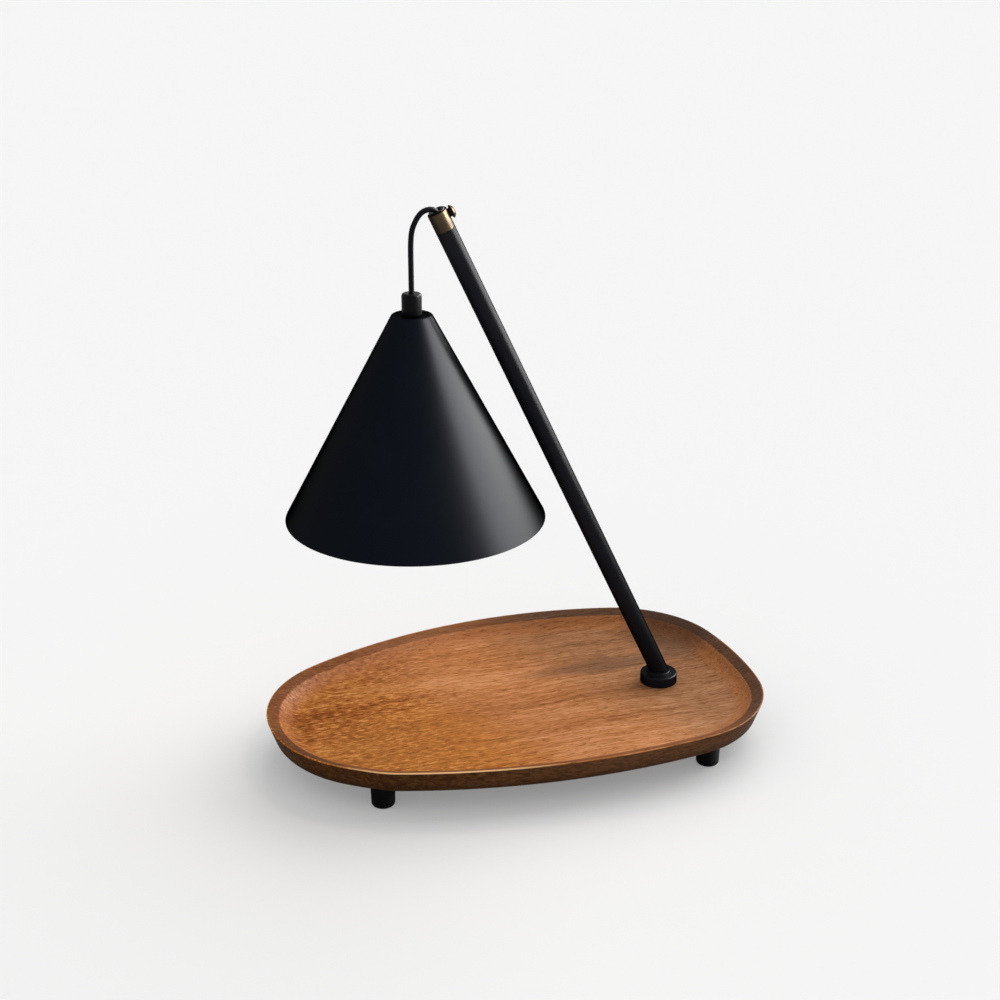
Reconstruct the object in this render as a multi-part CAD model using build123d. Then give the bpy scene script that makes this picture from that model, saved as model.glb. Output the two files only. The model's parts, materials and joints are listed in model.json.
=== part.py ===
from build123d import *
import math
import os

# Candle warmer lamp: a carved wooden tray on four feet, a leaning tube arm, and a
# conical shade with a lamp in it that hangs on its own cord over the candle's place.
# Millimetres. The origin is on the surface the feet stand on, under the middle of the
# tray. +X runs along the tray towards the arm, +Y away from the front, +Z is up.

fit = 0.05  # radial clearance of a seated or turning piece
slack = 0.15  # radial clearance of a screw in a plain hole
seat = 0.02  # air between two pieces that rest on each other

# Tray
tray_length = 325.4
tray_width = 213.4
foot_height = 15.0
floor_thickness = 7.0  # wood under the dish
dish_depth = 10.0
side_draft = 6.0  # how far the side leans in from rim to underside
under_round = 6.0
lip_width = 1.2
band_width = 8.0  # sloping band between the lip and the cove
band_drop = 2.5
cove_run = 6.0
cove_radius = 14.0
lip_round = 0.5

# Tray outline: four corner circles joined by four broad side arcs. Each circle fills the
# tray's box from side to side, but for its gaps to the front and to the back, and stands
# in from the box's end.
front_right_end_gap = 1.5
front_right_front_gap = 5.0
front_right_back_gap = 61.8
back_right_end_gap = 2.7
back_right_front_gap = 58.6
back_right_back_gap = 7.2
back_left_end_gap = 0.1
back_left_front_gap = 22.0
back_left_back_gap = 27.6
front_left_end_gap = 22.2
front_left_front_gap = 17.2
front_left_back_gap = 75.9
right_side_radius = 256.0
back_side_radius = 312.0
left_side_radius = 208.0
front_side_radius = 430.0

# Feet, each placed from the nearest end and side of the tray's box
foot_diameter = 15.4
foot_taper = 0.4  # how much smaller the radius is at the bottom
foot_round = 2.2
front_left_foot_end_gap = 58.7
front_left_foot_side_gap = 41.4
front_right_foot_end_gap = 56.2
front_right_foot_side_gap = 27.7
back_left_foot_end_gap = 62.7
back_left_foot_side_gap = 54.7
back_right_foot_end_gap = 54.7
back_right_foot_side_gap = 36.7
foot_floor = 4.0  # rubber between the screw's washer and the tray
foot_washer_thickness = 0.8
foot_washer_margin = 0.3  # past the screw's head

# Wood screws of the feet, the clip and the mains block
wood_screw_radius = 1.5
wood_screw_head_radius = 2.8
wood_screw_head_height = 1.6
wood_screw_bite = 4.5  # length in the wood

# Hub that carries the arm
arm_end_gap = 59.3  # from the right end of the tray's box to the hub's axis
arm_y = -3.1
hub_diameter = 24.6
hub_height = 7.0
hub_chamfer = 1.1
hub_collar_wall = 1.05  # round the leaning tube, at its thinnest
hub_collar_height = 1.6
hub_collar_round = 0.4
shank_diameter = 10.0
shank_bore = 6.5
nut_recess_gap = 0.5  # round the washer
nut_recess_depth = 3.0
hub_washer_diameter = 20.0
hub_washer_thickness = 1.0
hub_nut_flats = 15.0
hub_nut_height = 4.0
shank_past_nut = 0.5

# Arm tube
arm_lean = 25.3  # degrees from upright, towards the shade
arm_length = 353.7  # from the top of the hub to the mouth
tube_diameter = 12.2
tube_wall = 1.0
tube_seat_depth = 4.8

# Brass ferrule, bush and thumb screw at the arm's mouth
ferrule_length = 12.0
ferrule_spigot_length = 10.0
ferrule_bore = 5.2
ferrule_round = 0.5
groove_width = 0.4
groove_depth = 0.3
bush_diameter = 8.3
bush_length = 9.0
bush_lip_overhang = 0.95
bush_lip_height = 0.9
bush_bore_gap = 0.3  # round the cord
bush_flare = 1.55  # how much wider the bore is at its mouth
bush_flare_depth = 2.4
screw_below_mouth = 4.2
screw_diameter = 3.0
screw_head_diameter = 8.1
screw_head_height = 2.4
screw_head_gap = 1.4  # from the ferrule to the head
screw_edge_height = 0.8
screw_washer_diameter = 5.4
screw_washer_thickness = 0.8
pad_thickness = 1.1
knurl_count = 24
knurl_depth = 0.25

# Cord
cord_diameter = 3.3
cord_reach = 16.1  # from the mouth to the line on which the shade hangs
cord_pivot_drop = 26.4  # below the mouth, where the cord bends when the shade swings
pivot_gap = 0.1
exit_depth = 2.6  # the free cord starts this far inside the mouth
hanging_length = 20.8  # of straight cord between the bend and the grip

# Shade
shade_diameter = 160.8
shade_height = 128.0
shade_top_diameter = 24.2
shade_wall = 0.9
shade_top_round = 1.0
hem_height = 1.6
hem_width = 0.9

# Cord grip and nipple
grip_diameter = 12.1
grip_neck = 5.8  # height of the grip above the nipple's thread
grip_chamfer = 1.6
grip_screw_rise = 0.7  # wall between the nipple's thread and the screw
grip_screw_diameter = 3.0
grip_screw_inset = 0.3
nipple_diameter = 8.0
nipple_bore = 5.0
nipple_lap = 6.4  # length inside the grip
nipple_relief = 0.6  # air above the nipple in the grip
nipple_end = 0.7  # length that stands out of the nut

# Bracket, washer and nut inside the shade
bracket_width = 14.0
bracket_sheet = 1.0
bracket_side_gap = 0.25  # from the bracket's corners to the shade
inner_washer_diameter = 14.0
inner_washer_thickness = 0.8
inner_nut_flats = 12.0
inner_nut_height = 3.2

# Lamp holder
holder_diameter = 27.0
holder_height = 20.0
holder_round = 1.5
holder_screw_radius = 1.25
holder_screw_head_radius = 2.3
holder_screw_head_height = 1.5
holder_screw_margin = 0.45  # from the screw's head to the bracket's side
holder_screw_bite = 7.0
wire_room = 6.8  # between the nipple and the holder
wire_diameter = 1.4
wire_spacing = 6.0
wire_bite = 6.0
contact_width = 1.0
contact_depth = 4.0

# Lamp with two lugged pins
pin_spacing = 10.0
pin_radius = 1.55
pin_head_radius = 2.45
pin_length = 7.0
pin_head_height = 2.6
lamp_base_diameter = 22.0
lamp_base_height = 14.0
lamp_base_wall = 2.5
lamp_bowl_height = 32.0
lamp_front_diameter = 50.0
lamp_front_height = 4.0
lamp_wall = 1.5
bowl_swell = 1.5  # the bowl's curve past a straight cone, at its fullest
bowl_swell_place = 0.4  # share of the bowl's height, from its neck
lamp_lens_thickness = 2.0
lens_inset = 0.75
lamp_gap = 0.3  # between the lamp's base and its holder
capsule_radius = 4.5
capsule_length = 18.0
capsule_roundness = 0.9  # of a half ball at the tip

# Lead under the tray, its clip, and the block that the mains lead enters
lead_drop = 5.4  # the lead's bend under the shank
clip_end_gap = 34.7  # from the right end of the tray's box to the clip's middle
clip_width = 6.0
clip_sheet = 1.0
clip_ear = 3.0  # past the middle of the clip's screw
block_end_gap = 13.2  # from the right end of the tray's box
block_length = 14.0
block_height = 9.0
block_wall = 0.9
block_round = 1.5
gland_radius = 3.6
gland_length = 6.0
mains_bore_radius = 2.5

# Levels, radii and centres worked out from the sizes above
half_length = tray_length / 2
half_width = tray_width / 2
under_z = foot_height
floor_z = under_z + floor_thickness
rim_z = floor_z + dish_depth
hub_top_z = floor_z + hub_height + hub_collar_height
tube_radius = tube_diameter / 2
cord_radius = cord_diameter / 2
lean = math.radians(arm_lean)
hub_collar_radius = tube_radius / math.cos(lean) + hub_collar_wall
arm_direction = Vector(-math.sin(lean), 0, math.cos(lean))
arm_back = Vector(math.cos(lean), 0, math.sin(lean))
arm_x = half_length - arm_end_gap
arm_root = Vector(arm_x, arm_y, hub_top_z)
mouth = arm_root + arm_direction * arm_length
arm_frame = Plane(origin=mouth, x_dir=arm_back, z_dir=arm_direction)
shade_x = mouth.X - cord_reach
cord_pivot_z = mouth.Z - cord_pivot_drop
grip_top_z = cord_pivot_z - hanging_length
grip_thread_depth = nipple_lap + nipple_relief
shade_top_z = grip_top_z - grip_neck - grip_thread_depth
shade_rim_z = shade_top_z - shade_height
shade_axis = Pos(shade_x, arm_y, 0)
lead_z = under_z - cord_radius - 2 * slack
screw_recess_radius = wood_screw_head_radius + slack
foot_washer_radius = wood_screw_head_radius + foot_washer_margin


def drum(radius, low, high):
    """A solid cylinder about Z between two heights."""
    height = high - low
    return Pos(0, 0, low) * Cylinder(radius, height, align=(Align.CENTER, Align.CENTER, Align.MIN))


def pipe(outer, inner, low, high):
    return drum(outer, low, high) - drum(inner, low, high)


def block(length, width, low, high):
    height = high - low
    return Pos(0, 0, low) * Box(length, width, height, align=(Align.CENTER, Align.CENTER, Align.MIN))


def hexagon(flats, low, high):
    outline = RegularPolygon(radius=flats / 2, side_count=6, major_radius=False)
    return Pos(0, 0, low) * extrude(outline, high - low)


def turned(points):
    """A profile of (radius, height) points turned about Z."""
    profile = make_face(Polyline(*[(r, 0, z) for r, z in points], close=True))
    return revolve(profile, Axis.Z)


def rod(radius, start, end):
    """A round rod between two points."""
    along = end - start
    shape = Cylinder(radius, along.length, align=(Align.CENTER, Align.CENTER, Align.MIN))
    return Plane(origin=start, z_dir=along) * shape


def cord_tube(name, radius, points):
    """A cord along straight runs joined by tangent arcs, as large as the runs allow."""
    points = [Vector(p) for p in points]
    bends = []
    for before, corner, after in zip(points, points[1:], points[2:]):
        first, second = corner - before, after - corner
        half_turn = math.radians(first.get_angle(second)) / 2
        bends.append(0.45 * min(first.length, second.length) / math.tan(half_turn))
    path = FilletPolyline(*points, radius=bends)
    tube = sweep(Plane(origin=path @ 0, z_dir=path % 0) * Circle(radius), path=path)
    expected = math.pi * radius**2 * path.length
    print(name, "length", round(path.length, 2), "radii", [round(r, 1) for r in bends])
    print(name, "volume", round(tube.volume, 2), "section times length", round(expected, 2))
    return tube


# The tray's outline


def corner_circle(end, end_gap, front_gap, back_gap):
    """Centre and radius of a corner circle. end is the sign of its end along X."""
    radius = (tray_width - front_gap - back_gap) / 2
    return Vector(end * (half_length - end_gap - radius), (front_gap - back_gap) / 2), radius


corners = [
    corner_circle(1, front_right_end_gap, front_right_front_gap, front_right_back_gap),
    corner_circle(1, back_right_end_gap, back_right_front_gap, back_right_back_gap),
    corner_circle(-1, back_left_end_gap, back_left_front_gap, back_left_back_gap),
    corner_circle(-1, front_left_end_gap, front_left_front_gap, front_left_back_gap),
]
side_radii = [right_side_radius, back_side_radius, left_side_radius, front_side_radius]


def side_centre(first, second, radius):
    """Centre of the arc of that radius that holds both corner circles against it."""
    (a, ra), (b, rb) = first, second
    reach_a, reach_b = radius - ra, radius - rb
    base = b - a
    along = (reach_a**2 - reach_b**2 + base.length**2) / (2 * base.length)
    across = math.sqrt(reach_a**2 - along**2)
    unit = base.normalized()
    return a + unit * along + Vector(-unit.Y, unit.X) * across


side_centres = [
    side_centre(corners[i], corners[(i + 1) % 4], radius) for i, radius in enumerate(side_radii)
]


def arc_about(centre, radius, start, end):
    """The arc about a centre between two directions."""
    first, last = start.normalized(), end.normalized()
    middle = (first + last).normalized()
    return ThreePointArc(centre + first * radius, centre + middle * radius, centre + last * radius)


def tray_outline(inset, z):
    """The tray's outline, drawn in by inset all round, at height z."""
    arcs = []
    for i, (centre, radius) in enumerate(corners):
        before, after = side_centres[i - 1], side_centres[i]
        following = corners[(i + 1) % 4][0]
        arcs.append(arc_about(centre, radius - inset, centre - before, centre - after))
        arcs.append(arc_about(after, side_radii[i] - inset, centre - after, following - after))
    return Pos(0, 0, z) * make_face(arcs)


# Places of what is screwed to the tray from below


def foot_place(end, side, end_gap, side_gap):
    """A foot's place. end and side are its signs along X and Y."""
    return Pos(end * (half_length - end_gap), side * (half_width - side_gap), 0)


foot_places = {
    "foot_front_left": foot_place(-1, -1, front_left_foot_end_gap, front_left_foot_side_gap),
    "foot_front_right": foot_place(1, -1, front_right_foot_end_gap, front_right_foot_side_gap),
    "foot_back_left": foot_place(-1, 1, back_left_foot_end_gap, back_left_foot_side_gap),
    "foot_back_right": foot_place(1, 1, back_right_foot_end_gap, back_right_foot_side_gap),
}
clip_x = half_length - clip_end_gap
clip_hole = cord_radius + slack
clip_screw_y = clip_hole + clip_sheet + screw_recess_radius
clip_screw_places = [Pos(clip_x, arm_y + s * clip_screw_y, 0) for s in (-1, 1)]
block_end_x = half_length - block_end_gap
block_middle_x = block_end_x - block_length / 2
block_screw_y = gland_radius + block_wall + screw_recess_radius
block_screw_places = [Pos(block_middle_x, arm_y + s * block_screw_y, 0) for s in (-1, 1)]
block_width = 2 * (block_screw_y + screw_recess_radius + block_wall)
block_low = under_z - block_height
gland_drop = gland_radius - cord_radius  # the gland's axis lies lower, clear of the wood
wood_hole = drum(wood_screw_radius + seat, under_z, under_z + wood_screw_bite + seat)


# Pieces


def wood_tray():
    blank = loft([tray_outline(side_draft, under_z), tray_outline(0, rim_z)], ruled=True)
    blank = fillet(blank.edges().group_by(Axis.Z)[0], under_round)
    ledge_z = rim_z - band_drop
    band = loft([tray_outline(band_width, ledge_z), tray_outline(lip_width, rim_z)], ruled=True)
    well = loft(
        [tray_outline(band_width + cove_run, floor_z), tray_outline(band_width, ledge_z)], ruled=True
    )
    well = fillet(well.edges().group_by(Axis.Z)[0], cove_radius)
    tray = blank - band - well
    rim = tray.edges().group_by(Axis.Z)[-1]
    tray = fillet(rim, lip_round)
    hub_place = Pos(arm_x, arm_y, 0)
    tray -= hub_place * drum(shank_diameter / 2 + slack, under_z, floor_z)
    recess_radius = hub_washer_diameter / 2 + nut_recess_gap
    tray -= hub_place * drum(recess_radius, under_z, under_z + nut_recess_depth)
    for place in [*foot_places.values(), *clip_screw_places, *block_screw_places]:
        tray -= place * wood_hole
    return tray


def wood_screw(head_z):
    """A screw whose head's underside is at head_z, driven up into the tray."""
    shank = drum(wood_screw_radius, head_z, under_z + wood_screw_bite)
    head = drum(wood_screw_head_radius, head_z - wood_screw_head_height, head_z)
    head = fillet(head.edges().group_by(Axis.Z)[0], wood_screw_head_height / 2)
    cross = Pos(0, 0, head_z - wood_screw_head_height) * Box(
        wood_screw_head_radius, wood_screw_head_height / 3, wood_screw_head_height
    )
    return shank + head - cross - Rot(0, 0, 90) * cross


foot_washer_low = under_z - foot_floor - foot_washer_thickness


def rubber_foot():
    bottom_radius = foot_diameter / 2 - foot_taper
    foot = turned([(0, 0), (bottom_radius, 0), (foot_diameter / 2, under_z), (0, under_z)])
    foot = fillet(foot.edges().group_by(Axis.Z)[0], foot_round)
    foot -= drum(foot_washer_radius + slack, 0, foot_washer_low + foot_washer_thickness)
    return foot - drum(wood_screw_radius + slack, 0, under_z)


def foot_washer():
    inner = wood_screw_radius + slack
    return pipe(foot_washer_radius, inner, foot_washer_low, foot_washer_low + foot_washer_thickness)


nut_seat_z = under_z + nut_recess_depth
hub_nut_top_z = nut_seat_z - hub_washer_thickness
shank_end_z = hub_nut_top_z - hub_nut_height - shank_past_nut


def arm_hub():
    disc = drum(hub_diameter / 2, floor_z, floor_z + hub_height)
    disc = chamfer(disc.edges().group_by(Axis.Z)[-1], hub_chamfer)
    collar = drum(hub_collar_radius, floor_z, hub_top_z)
    collar = fillet(collar.edges().group_by(Axis.Z)[-1], hub_collar_round)
    shank = drum(shank_diameter / 2, shank_end_z, floor_z)
    passage = drum(shank_bore / 2, shank_end_z, hub_top_z)
    hub = Pos(arm_x, arm_y, 0) * (disc + collar + shank - passage)
    socket = drum(tube_radius + fit, -arm_length - tube_seat_depth - seat, -arm_length / 2)
    return hub - arm_frame * socket


def hub_washer():
    washer = pipe(hub_washer_diameter / 2, shank_diameter / 2 + slack, hub_nut_top_z, nut_seat_z)
    return Pos(arm_x, arm_y, 0) * washer


def hub_nut():
    nut = hexagon(hub_nut_flats, hub_nut_top_z - hub_nut_height, hub_nut_top_z)
    return Pos(arm_x, arm_y, 0) * (nut - drum(shank_diameter / 2 + seat, 0, rim_z))


def arm_tube():
    inner = tube_radius - tube_wall
    return arm_frame * pipe(tube_radius, inner, -arm_length - tube_seat_depth, -ferrule_length)


screw_frame = Pos(0, 0, -screw_below_mouth) * Rot(0, 90, 0)  # Z along the screw, outwards
bush_recess_radius = bush_diameter / 2 + fit
pad_radius = screw_diameter / 2
pad_low = cord_radius + seat
pad_high = pad_low + pad_thickness
head_low = tube_radius + screw_head_gap


def tube_ferrule():
    body = drum(tube_radius, -ferrule_length, 0)
    body = fillet(body.edges().group_by(Axis.Z)[-1], ferrule_round)
    groove_top = -ferrule_length + groove_width
    body -= pipe(tube_diameter, tube_radius - groove_depth, -ferrule_length, groove_top)
    spigot_radius = tube_radius - tube_wall - fit
    body += drum(spigot_radius, -ferrule_length - ferrule_spigot_length, -ferrule_length)
    body -= drum(ferrule_bore / 2, -ferrule_length - ferrule_spigot_length, 0)
    body -= drum(bush_recess_radius, -bush_length - seat, 0)
    body -= screw_frame * drum(screw_diameter / 2 + fit, 0, tube_diameter)
    return arm_frame * body


def cord_bush():
    lip = drum(bush_diameter / 2 + bush_lip_overhang, seat, bush_lip_height)
    lip = fillet(lip.edges().group_by(Axis.Z)[-1], bush_lip_height / 2)
    bush = drum(bush_diameter / 2, -bush_length, bush_lip_height / 2) + lip
    bore = cord_radius + bush_bore_gap
    bush -= drum(bore, -bush_length, bush_lip_height)
    low, high = bush_lip_height - bush_flare_depth, bush_lip_height
    bush -= turned([(0, low), (bore, low), (bore + bush_flare, high), (0, high)])
    bush -= screw_frame * drum(screw_diameter / 2 + slack, 0, tube_radius)
    return arm_frame * bush


def clamp_pad():
    return arm_frame * screw_frame * drum(pad_radius, pad_low, pad_high)


def thumb_screw():
    shank = drum(screw_diameter / 2, pad_high + seat, head_low)
    edge_z = head_low + screw_edge_height
    radius = screw_head_diameter / 2
    head = drum(radius, head_low, edge_z)
    notch = Pos(radius, 0, 0) * drum(knurl_depth, head_low, edge_z)
    for step in range(knurl_count):
        head -= Rot(0, 0, step * 360 / knurl_count) * notch
    dome_rise = screw_head_height - screw_edge_height
    dome_radius = (radius**2 + dome_rise**2) / (2 * dome_rise)
    dome = Pos(0, 0, edge_z + dome_rise - dome_radius) * Sphere(dome_radius)
    dome &= drum(radius - knurl_depth, edge_z, edge_z + dome_rise)
    return arm_frame * screw_frame * (shank + head + dome)


def screw_washer():
    low = tube_radius + seat
    inner = screw_diameter / 2 + fit
    washer = pipe(screw_washer_diameter / 2, inner, low, low + screw_washer_thickness)
    return arm_frame * screw_frame * washer


cord_exit = mouth - arm_direction * exit_depth
# Chosen points of the free cord, as (x, z) from the mouth: over the bush's lip, then down.
cord_bend_offsets = [(-0.8, 1.7), (-8.6, 1.0), (-13.2, -4.9), (-16.1, -12.9)]


def cord_bend():
    points = [cord_exit]
    points += [mouth + Vector(x, 0, z) for x, z in cord_bend_offsets]
    points.append(Vector(shade_x, arm_y, cord_pivot_z + cord_radius + pivot_gap))
    print("cord route", [tuple(round(v, 2) for v in p) for p in points])
    return cord_tube("cord_bend", cord_radius, points)


def cord_drop():
    run = drum(cord_radius, grip_top_z, cord_pivot_z)
    return shade_axis * (run + Pos(0, 0, cord_pivot_z) * Sphere(cord_radius))


def arm_lead():
    """The cord inside the arm, out under the hub and along to the mains block."""
    bend_z = shank_end_z - lead_drop
    points = [cord_exit, arm_root]
    points.append(Vector(arm_x, arm_y, bend_z))
    points.append(Vector(arm_x + 2 * lead_drop, arm_y, bend_z))
    points.append(Vector(clip_x - clip_width, arm_y, lead_z))
    points.append(Vector(block_middle_x, arm_y, lead_z))
    return cord_tube("arm_lead", cord_radius, points)


def lead_clip():
    """A saddle over the lead, screwed to the tray on both sides."""
    low = lead_z - clip_hole - clip_sheet
    arch = block(clip_width, 2 * (clip_hole + clip_sheet), low, under_z)
    span = 2 * (clip_screw_y + clip_ear)
    strap = arch + block(clip_width, span, under_z - clip_sheet, under_z)
    strap -= block(clip_width, 2 * clip_hole, lead_z, under_z)
    strap = Pos(clip_x, arm_y, 0) * strap
    start = Vector(clip_x - clip_width, arm_y, lead_z)
    strap -= rod(clip_hole, start, start + Vector(2 * clip_width, 0, 0))
    for place in clip_screw_places:
        strap -= place * drum(wood_screw_radius + slack, 0, under_z)
    return strap


def mains_block():
    body = Pos(block_middle_x, arm_y, 0) * block(block_length, block_width, block_low, under_z)
    body = fillet(body.edges().filter_by(Axis.Z), block_round)
    body = fillet(body.edges().group_by(Axis.Z)[0], block_round / 2)
    end = Vector(block_end_x, arm_y, lead_z - gland_drop)
    gland_start = end - Vector(gland_length, 0, 0)
    body -= rod(gland_radius + seat, gland_start, end)
    lead_start = Vector(block_end_x - block_length, arm_y, lead_z)
    body -= rod(cord_radius + slack, lead_start, Vector(gland_start.X, arm_y, lead_z))
    for place in block_screw_places:
        body -= place * drum(wood_screw_radius + slack, 0, under_z)
        body -= place * drum(screw_recess_radius, 0, block_low + wood_screw_head_height)
    return body


def mains_gland():
    end = Vector(block_end_x, arm_y, lead_z - gland_drop)
    start = end - Vector(gland_length - seat, 0, 0)
    return rod(gland_radius, start, end) - rod(mains_bore_radius, start, end)


shade_top_radius = shade_top_diameter / 2
shade_rim_radius = shade_diameter / 2
flare = (shade_rim_radius - shade_top_radius) / shade_height  # radius gained per height
sheet_across = shade_wall * math.hypot(1, flare)  # the sheet's thickness measured level
ceiling_z = shade_top_z - shade_wall
ceiling_radius = shade_top_radius + flare * shade_wall - sheet_across


def shade():
    """The spun cone: one sheet with a flat top and a folded hem at the rim."""
    low, high = shade_rim_z, shade_top_z
    cone = turned([(0, low), (shade_rim_radius, low), (shade_top_radius, high), (0, high)])
    cone = fillet(cone.edges().group_by(Axis.Z)[-1], shade_top_round)
    inner_rim = shade_rim_radius - sheet_across
    hollow = turned([(0, low), (inner_rim, low), (ceiling_radius, ceiling_z), (0, ceiling_z)])
    hem = pipe(inner_rim + sheet_across / 2, inner_rim - hem_width, low, low + hem_height)
    hem &= cone
    shell = cone - hollow + hem
    return shade_axis * (shell - drum(nipple_diameter / 2 + slack, ceiling_z, shade_top_z))


grip_screw_z = shade_top_z + grip_thread_depth + grip_screw_rise + grip_screw_diameter / 2


def cord_grip():
    body = drum(grip_diameter / 2, shade_top_z, grip_top_z)
    body = chamfer(body.edges().group_by(Axis.Z)[-1], grip_chamfer)
    body -= drum(nipple_diameter / 2 + seat, shade_top_z, shade_top_z + grip_thread_depth)
    body -= drum(cord_radius + slack, shade_top_z, grip_top_z)
    start, end = Vector(0, 0, grip_screw_z), Vector(0, grip_diameter, grip_screw_z)
    return shade_axis * (body - rod(grip_screw_diameter / 2 + seat, start, end))


def grip_screw():
    start = Vector(0, cord_radius + seat, grip_screw_z)
    end = Vector(0, grip_diameter / 2 - grip_screw_inset, grip_screw_z)
    driver = hexagon(grip_screw_diameter / 2, -grip_screw_diameter / 2, 0)
    driver = Plane(origin=end, z_dir=(0, 1, 0)) * driver
    return shade_axis * (rod(grip_screw_diameter / 2, start, end) - driver)


nipple_top = shade_top_z + nipple_lap
washer_top = ceiling_z - bracket_sheet
inner_nut_top = washer_top - inner_washer_thickness
nipple_low = inner_nut_top - inner_nut_height - nipple_end
bracket_low = nipple_low - wire_room
bracket_half_span = math.sqrt((ceiling_radius - bracket_side_gap) ** 2 - (bracket_width / 2) ** 2)
holder_top = bracket_low
holder_low = holder_top - holder_height
holder_screw_x = bracket_half_span - bracket_sheet - holder_screw_margin - holder_screw_head_radius
holder_screw_places = [Pos(s * holder_screw_x, 0, 0) for s in (-1, 1)]


def shade_nipple():
    return shade_axis * pipe(nipple_diameter / 2, nipple_bore / 2, nipple_low, nipple_top)


def inner_washer():
    washer = pipe(inner_washer_diameter / 2, nipple_diameter / 2 + slack, inner_nut_top, washer_top)
    return shade_axis * washer


def inner_nut():
    nut = hexagon(inner_nut_flats, inner_nut_top - inner_nut_height, inner_nut_top)
    return shade_axis * (nut - drum(nipple_diameter / 2 + seat, 0, shade_top_z))


bracket_foot_top = bracket_low + bracket_sheet


def holder_bracket():
    """A strip bent into a box that is open below: two feet turned in under the screws."""
    inner_half_span = bracket_half_span - bracket_sheet
    foot_gap = holder_screw_x - holder_screw_head_radius
    strip = block(2 * bracket_half_span, bracket_width, bracket_low, ceiling_z)
    strip -= block(2 * inner_half_span, bracket_width, bracket_foot_top, washer_top)
    strip -= block(2 * foot_gap, bracket_width, bracket_low, bracket_foot_top)
    strip -= drum(nipple_diameter / 2 + slack, washer_top, ceiling_z)
    for place in holder_screw_places:
        strip -= place * drum(holder_screw_radius + slack, bracket_low, bracket_foot_top)
    return shade_axis * strip


def holder_screws():
    shank = drum(holder_screw_radius, holder_top - holder_screw_bite, bracket_foot_top)
    head_top = bracket_foot_top + holder_screw_head_height
    head = drum(holder_screw_head_radius, bracket_foot_top, head_top)
    head = fillet(head.edges().group_by(Axis.Z)[-1], holder_screw_head_height / 2)
    slot_width = holder_screw_head_height / 3
    screw = shank + head - block(2 * holder_screw_head_radius, slot_width, head_top - slot_width, head_top)
    return Compound([shade_axis * place * screw for place in holder_screw_places])


wire_places = [Pos(0, s * wire_spacing / 2, 0) for s in (-1, 1)]
pin_places = [Pos(0, s * pin_spacing / 2, 0) for s in (-1, 1)]
lamp_base_top = holder_low - lamp_gap
pin_top = lamp_base_top + pin_length
contact_low = pin_top + seat


def lamp_holder():
    body = drum(holder_diameter / 2, holder_low, holder_top)
    body = fillet(body.edges().group_by(Axis.Z)[0], holder_round)
    for place in holder_screw_places:
        body -= place * drum(holder_screw_radius + seat, holder_top - holder_screw_bite - seat, holder_top)
    wire_end = holder_top - wire_bite
    contact_slot = block(contact_width + 2 * seat, contact_depth + 2 * seat, contact_low, wire_end)
    for wire, pin in zip(wire_places, pin_places):
        body -= wire * drum(wire_diameter / 2 + seat, wire_end, holder_top)
        body -= pin * drum(pin_head_radius + slack, holder_low, contact_low)
        body -= pin * contact_slot
    return shade_axis * body


def holder_contacts():
    contact = block(contact_width, contact_depth, contact_low, holder_top - wire_bite - seat)
    return Compound([shade_axis * pin * contact for pin in pin_places])


def shade_lead():
    """The cord from the top of the grip to the end of the nipple."""
    return shade_axis * drum(cord_radius, nipple_low, grip_top_z)


def holder_wires():
    """The two cores, from the end of the cord into the top of the holder."""
    start_y, end_y = wire_diameter / 2 + seat, wire_spacing / 2
    start_z = nipple_low - seat
    wires = []
    for s in (-1, 1):
        points = [(0, s * start_y, start_z)]
        points.append((0, s * start_y, start_z - wire_room / 4))
        points.append((0, s * end_y, holder_top + wire_room / 4))
        points.append((0, s * end_y, holder_top - wire_bite + seat))
        wires.append(shade_axis * cord_tube("holder_wires", wire_diameter / 2, points))
    return Compound(wires)


def lamp_pins():
    shank = drum(pin_radius, lamp_base_top - seat, pin_top - pin_head_height)
    head = drum(pin_head_radius, pin_top - pin_head_height, pin_top)
    return Compound([shade_axis * pin * (shank + head) for pin in pin_places])


lamp_base_low = lamp_base_top - lamp_base_height
lamp_bowl_low = lamp_base_low - lamp_bowl_height
lamp_low = lamp_bowl_low - lamp_front_height
base_radius = lamp_base_diameter / 2
front_radius = lamp_front_diameter / 2


def lamp_base():
    body = drum(base_radius, lamp_base_low, lamp_base_top)
    body = fillet(body.edges().group_by(Axis.Z)[-1], lamp_wall)
    body -= drum(base_radius - lamp_base_wall, lamp_base_low, lamp_base_top - lamp_base_wall)
    for pin in pin_places:
        body -= pin * drum(pin_radius + seat, lamp_base_low, lamp_base_top)
    return shade_axis * body


def bowl_profile(shift):
    """Half of the bowl's outline as a curve that swells out to the front ring."""
    start = (base_radius - shift, 0, lamp_base_low - seat)
    middle_radius = (base_radius + front_radius) / 2 + bowl_swell - shift
    middle = (middle_radius, 0, lamp_base_low - lamp_bowl_height * bowl_swell_place)
    end = (front_radius - shift, 0, lamp_bowl_low)
    return ThreePointArc(start, middle, end)


def lamp_bowl():
    """The reflector: a thin bowl with a straight ring at the front."""
    outer, inner = bowl_profile(0), bowl_profile(lamp_wall)
    front = [(front_radius, 0, lamp_low), (front_radius - lamp_wall, 0, lamp_low)]
    edges = [outer, Polyline(outer @ 1, *front, inner @ 1), inner, Line(inner @ 0, outer @ 0)]
    return shade_axis * revolve(make_face(edges), Axis.Z)


def lamp_lens():
    low = lamp_low + lens_inset
    return shade_axis * drum(front_radius - lamp_wall - seat, low, low + lamp_lens_thickness)


def lamp_capsule():
    """The sealed inner bulb, held by the base."""
    top = lamp_base_top - lamp_base_wall - seat
    body = drum(capsule_radius, top - capsule_length, top)
    return shade_axis * fillet(body.edges().group_by(Axis.Z)[0], capsule_radius * capsule_roundness)


# Every piece under its own name

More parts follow.
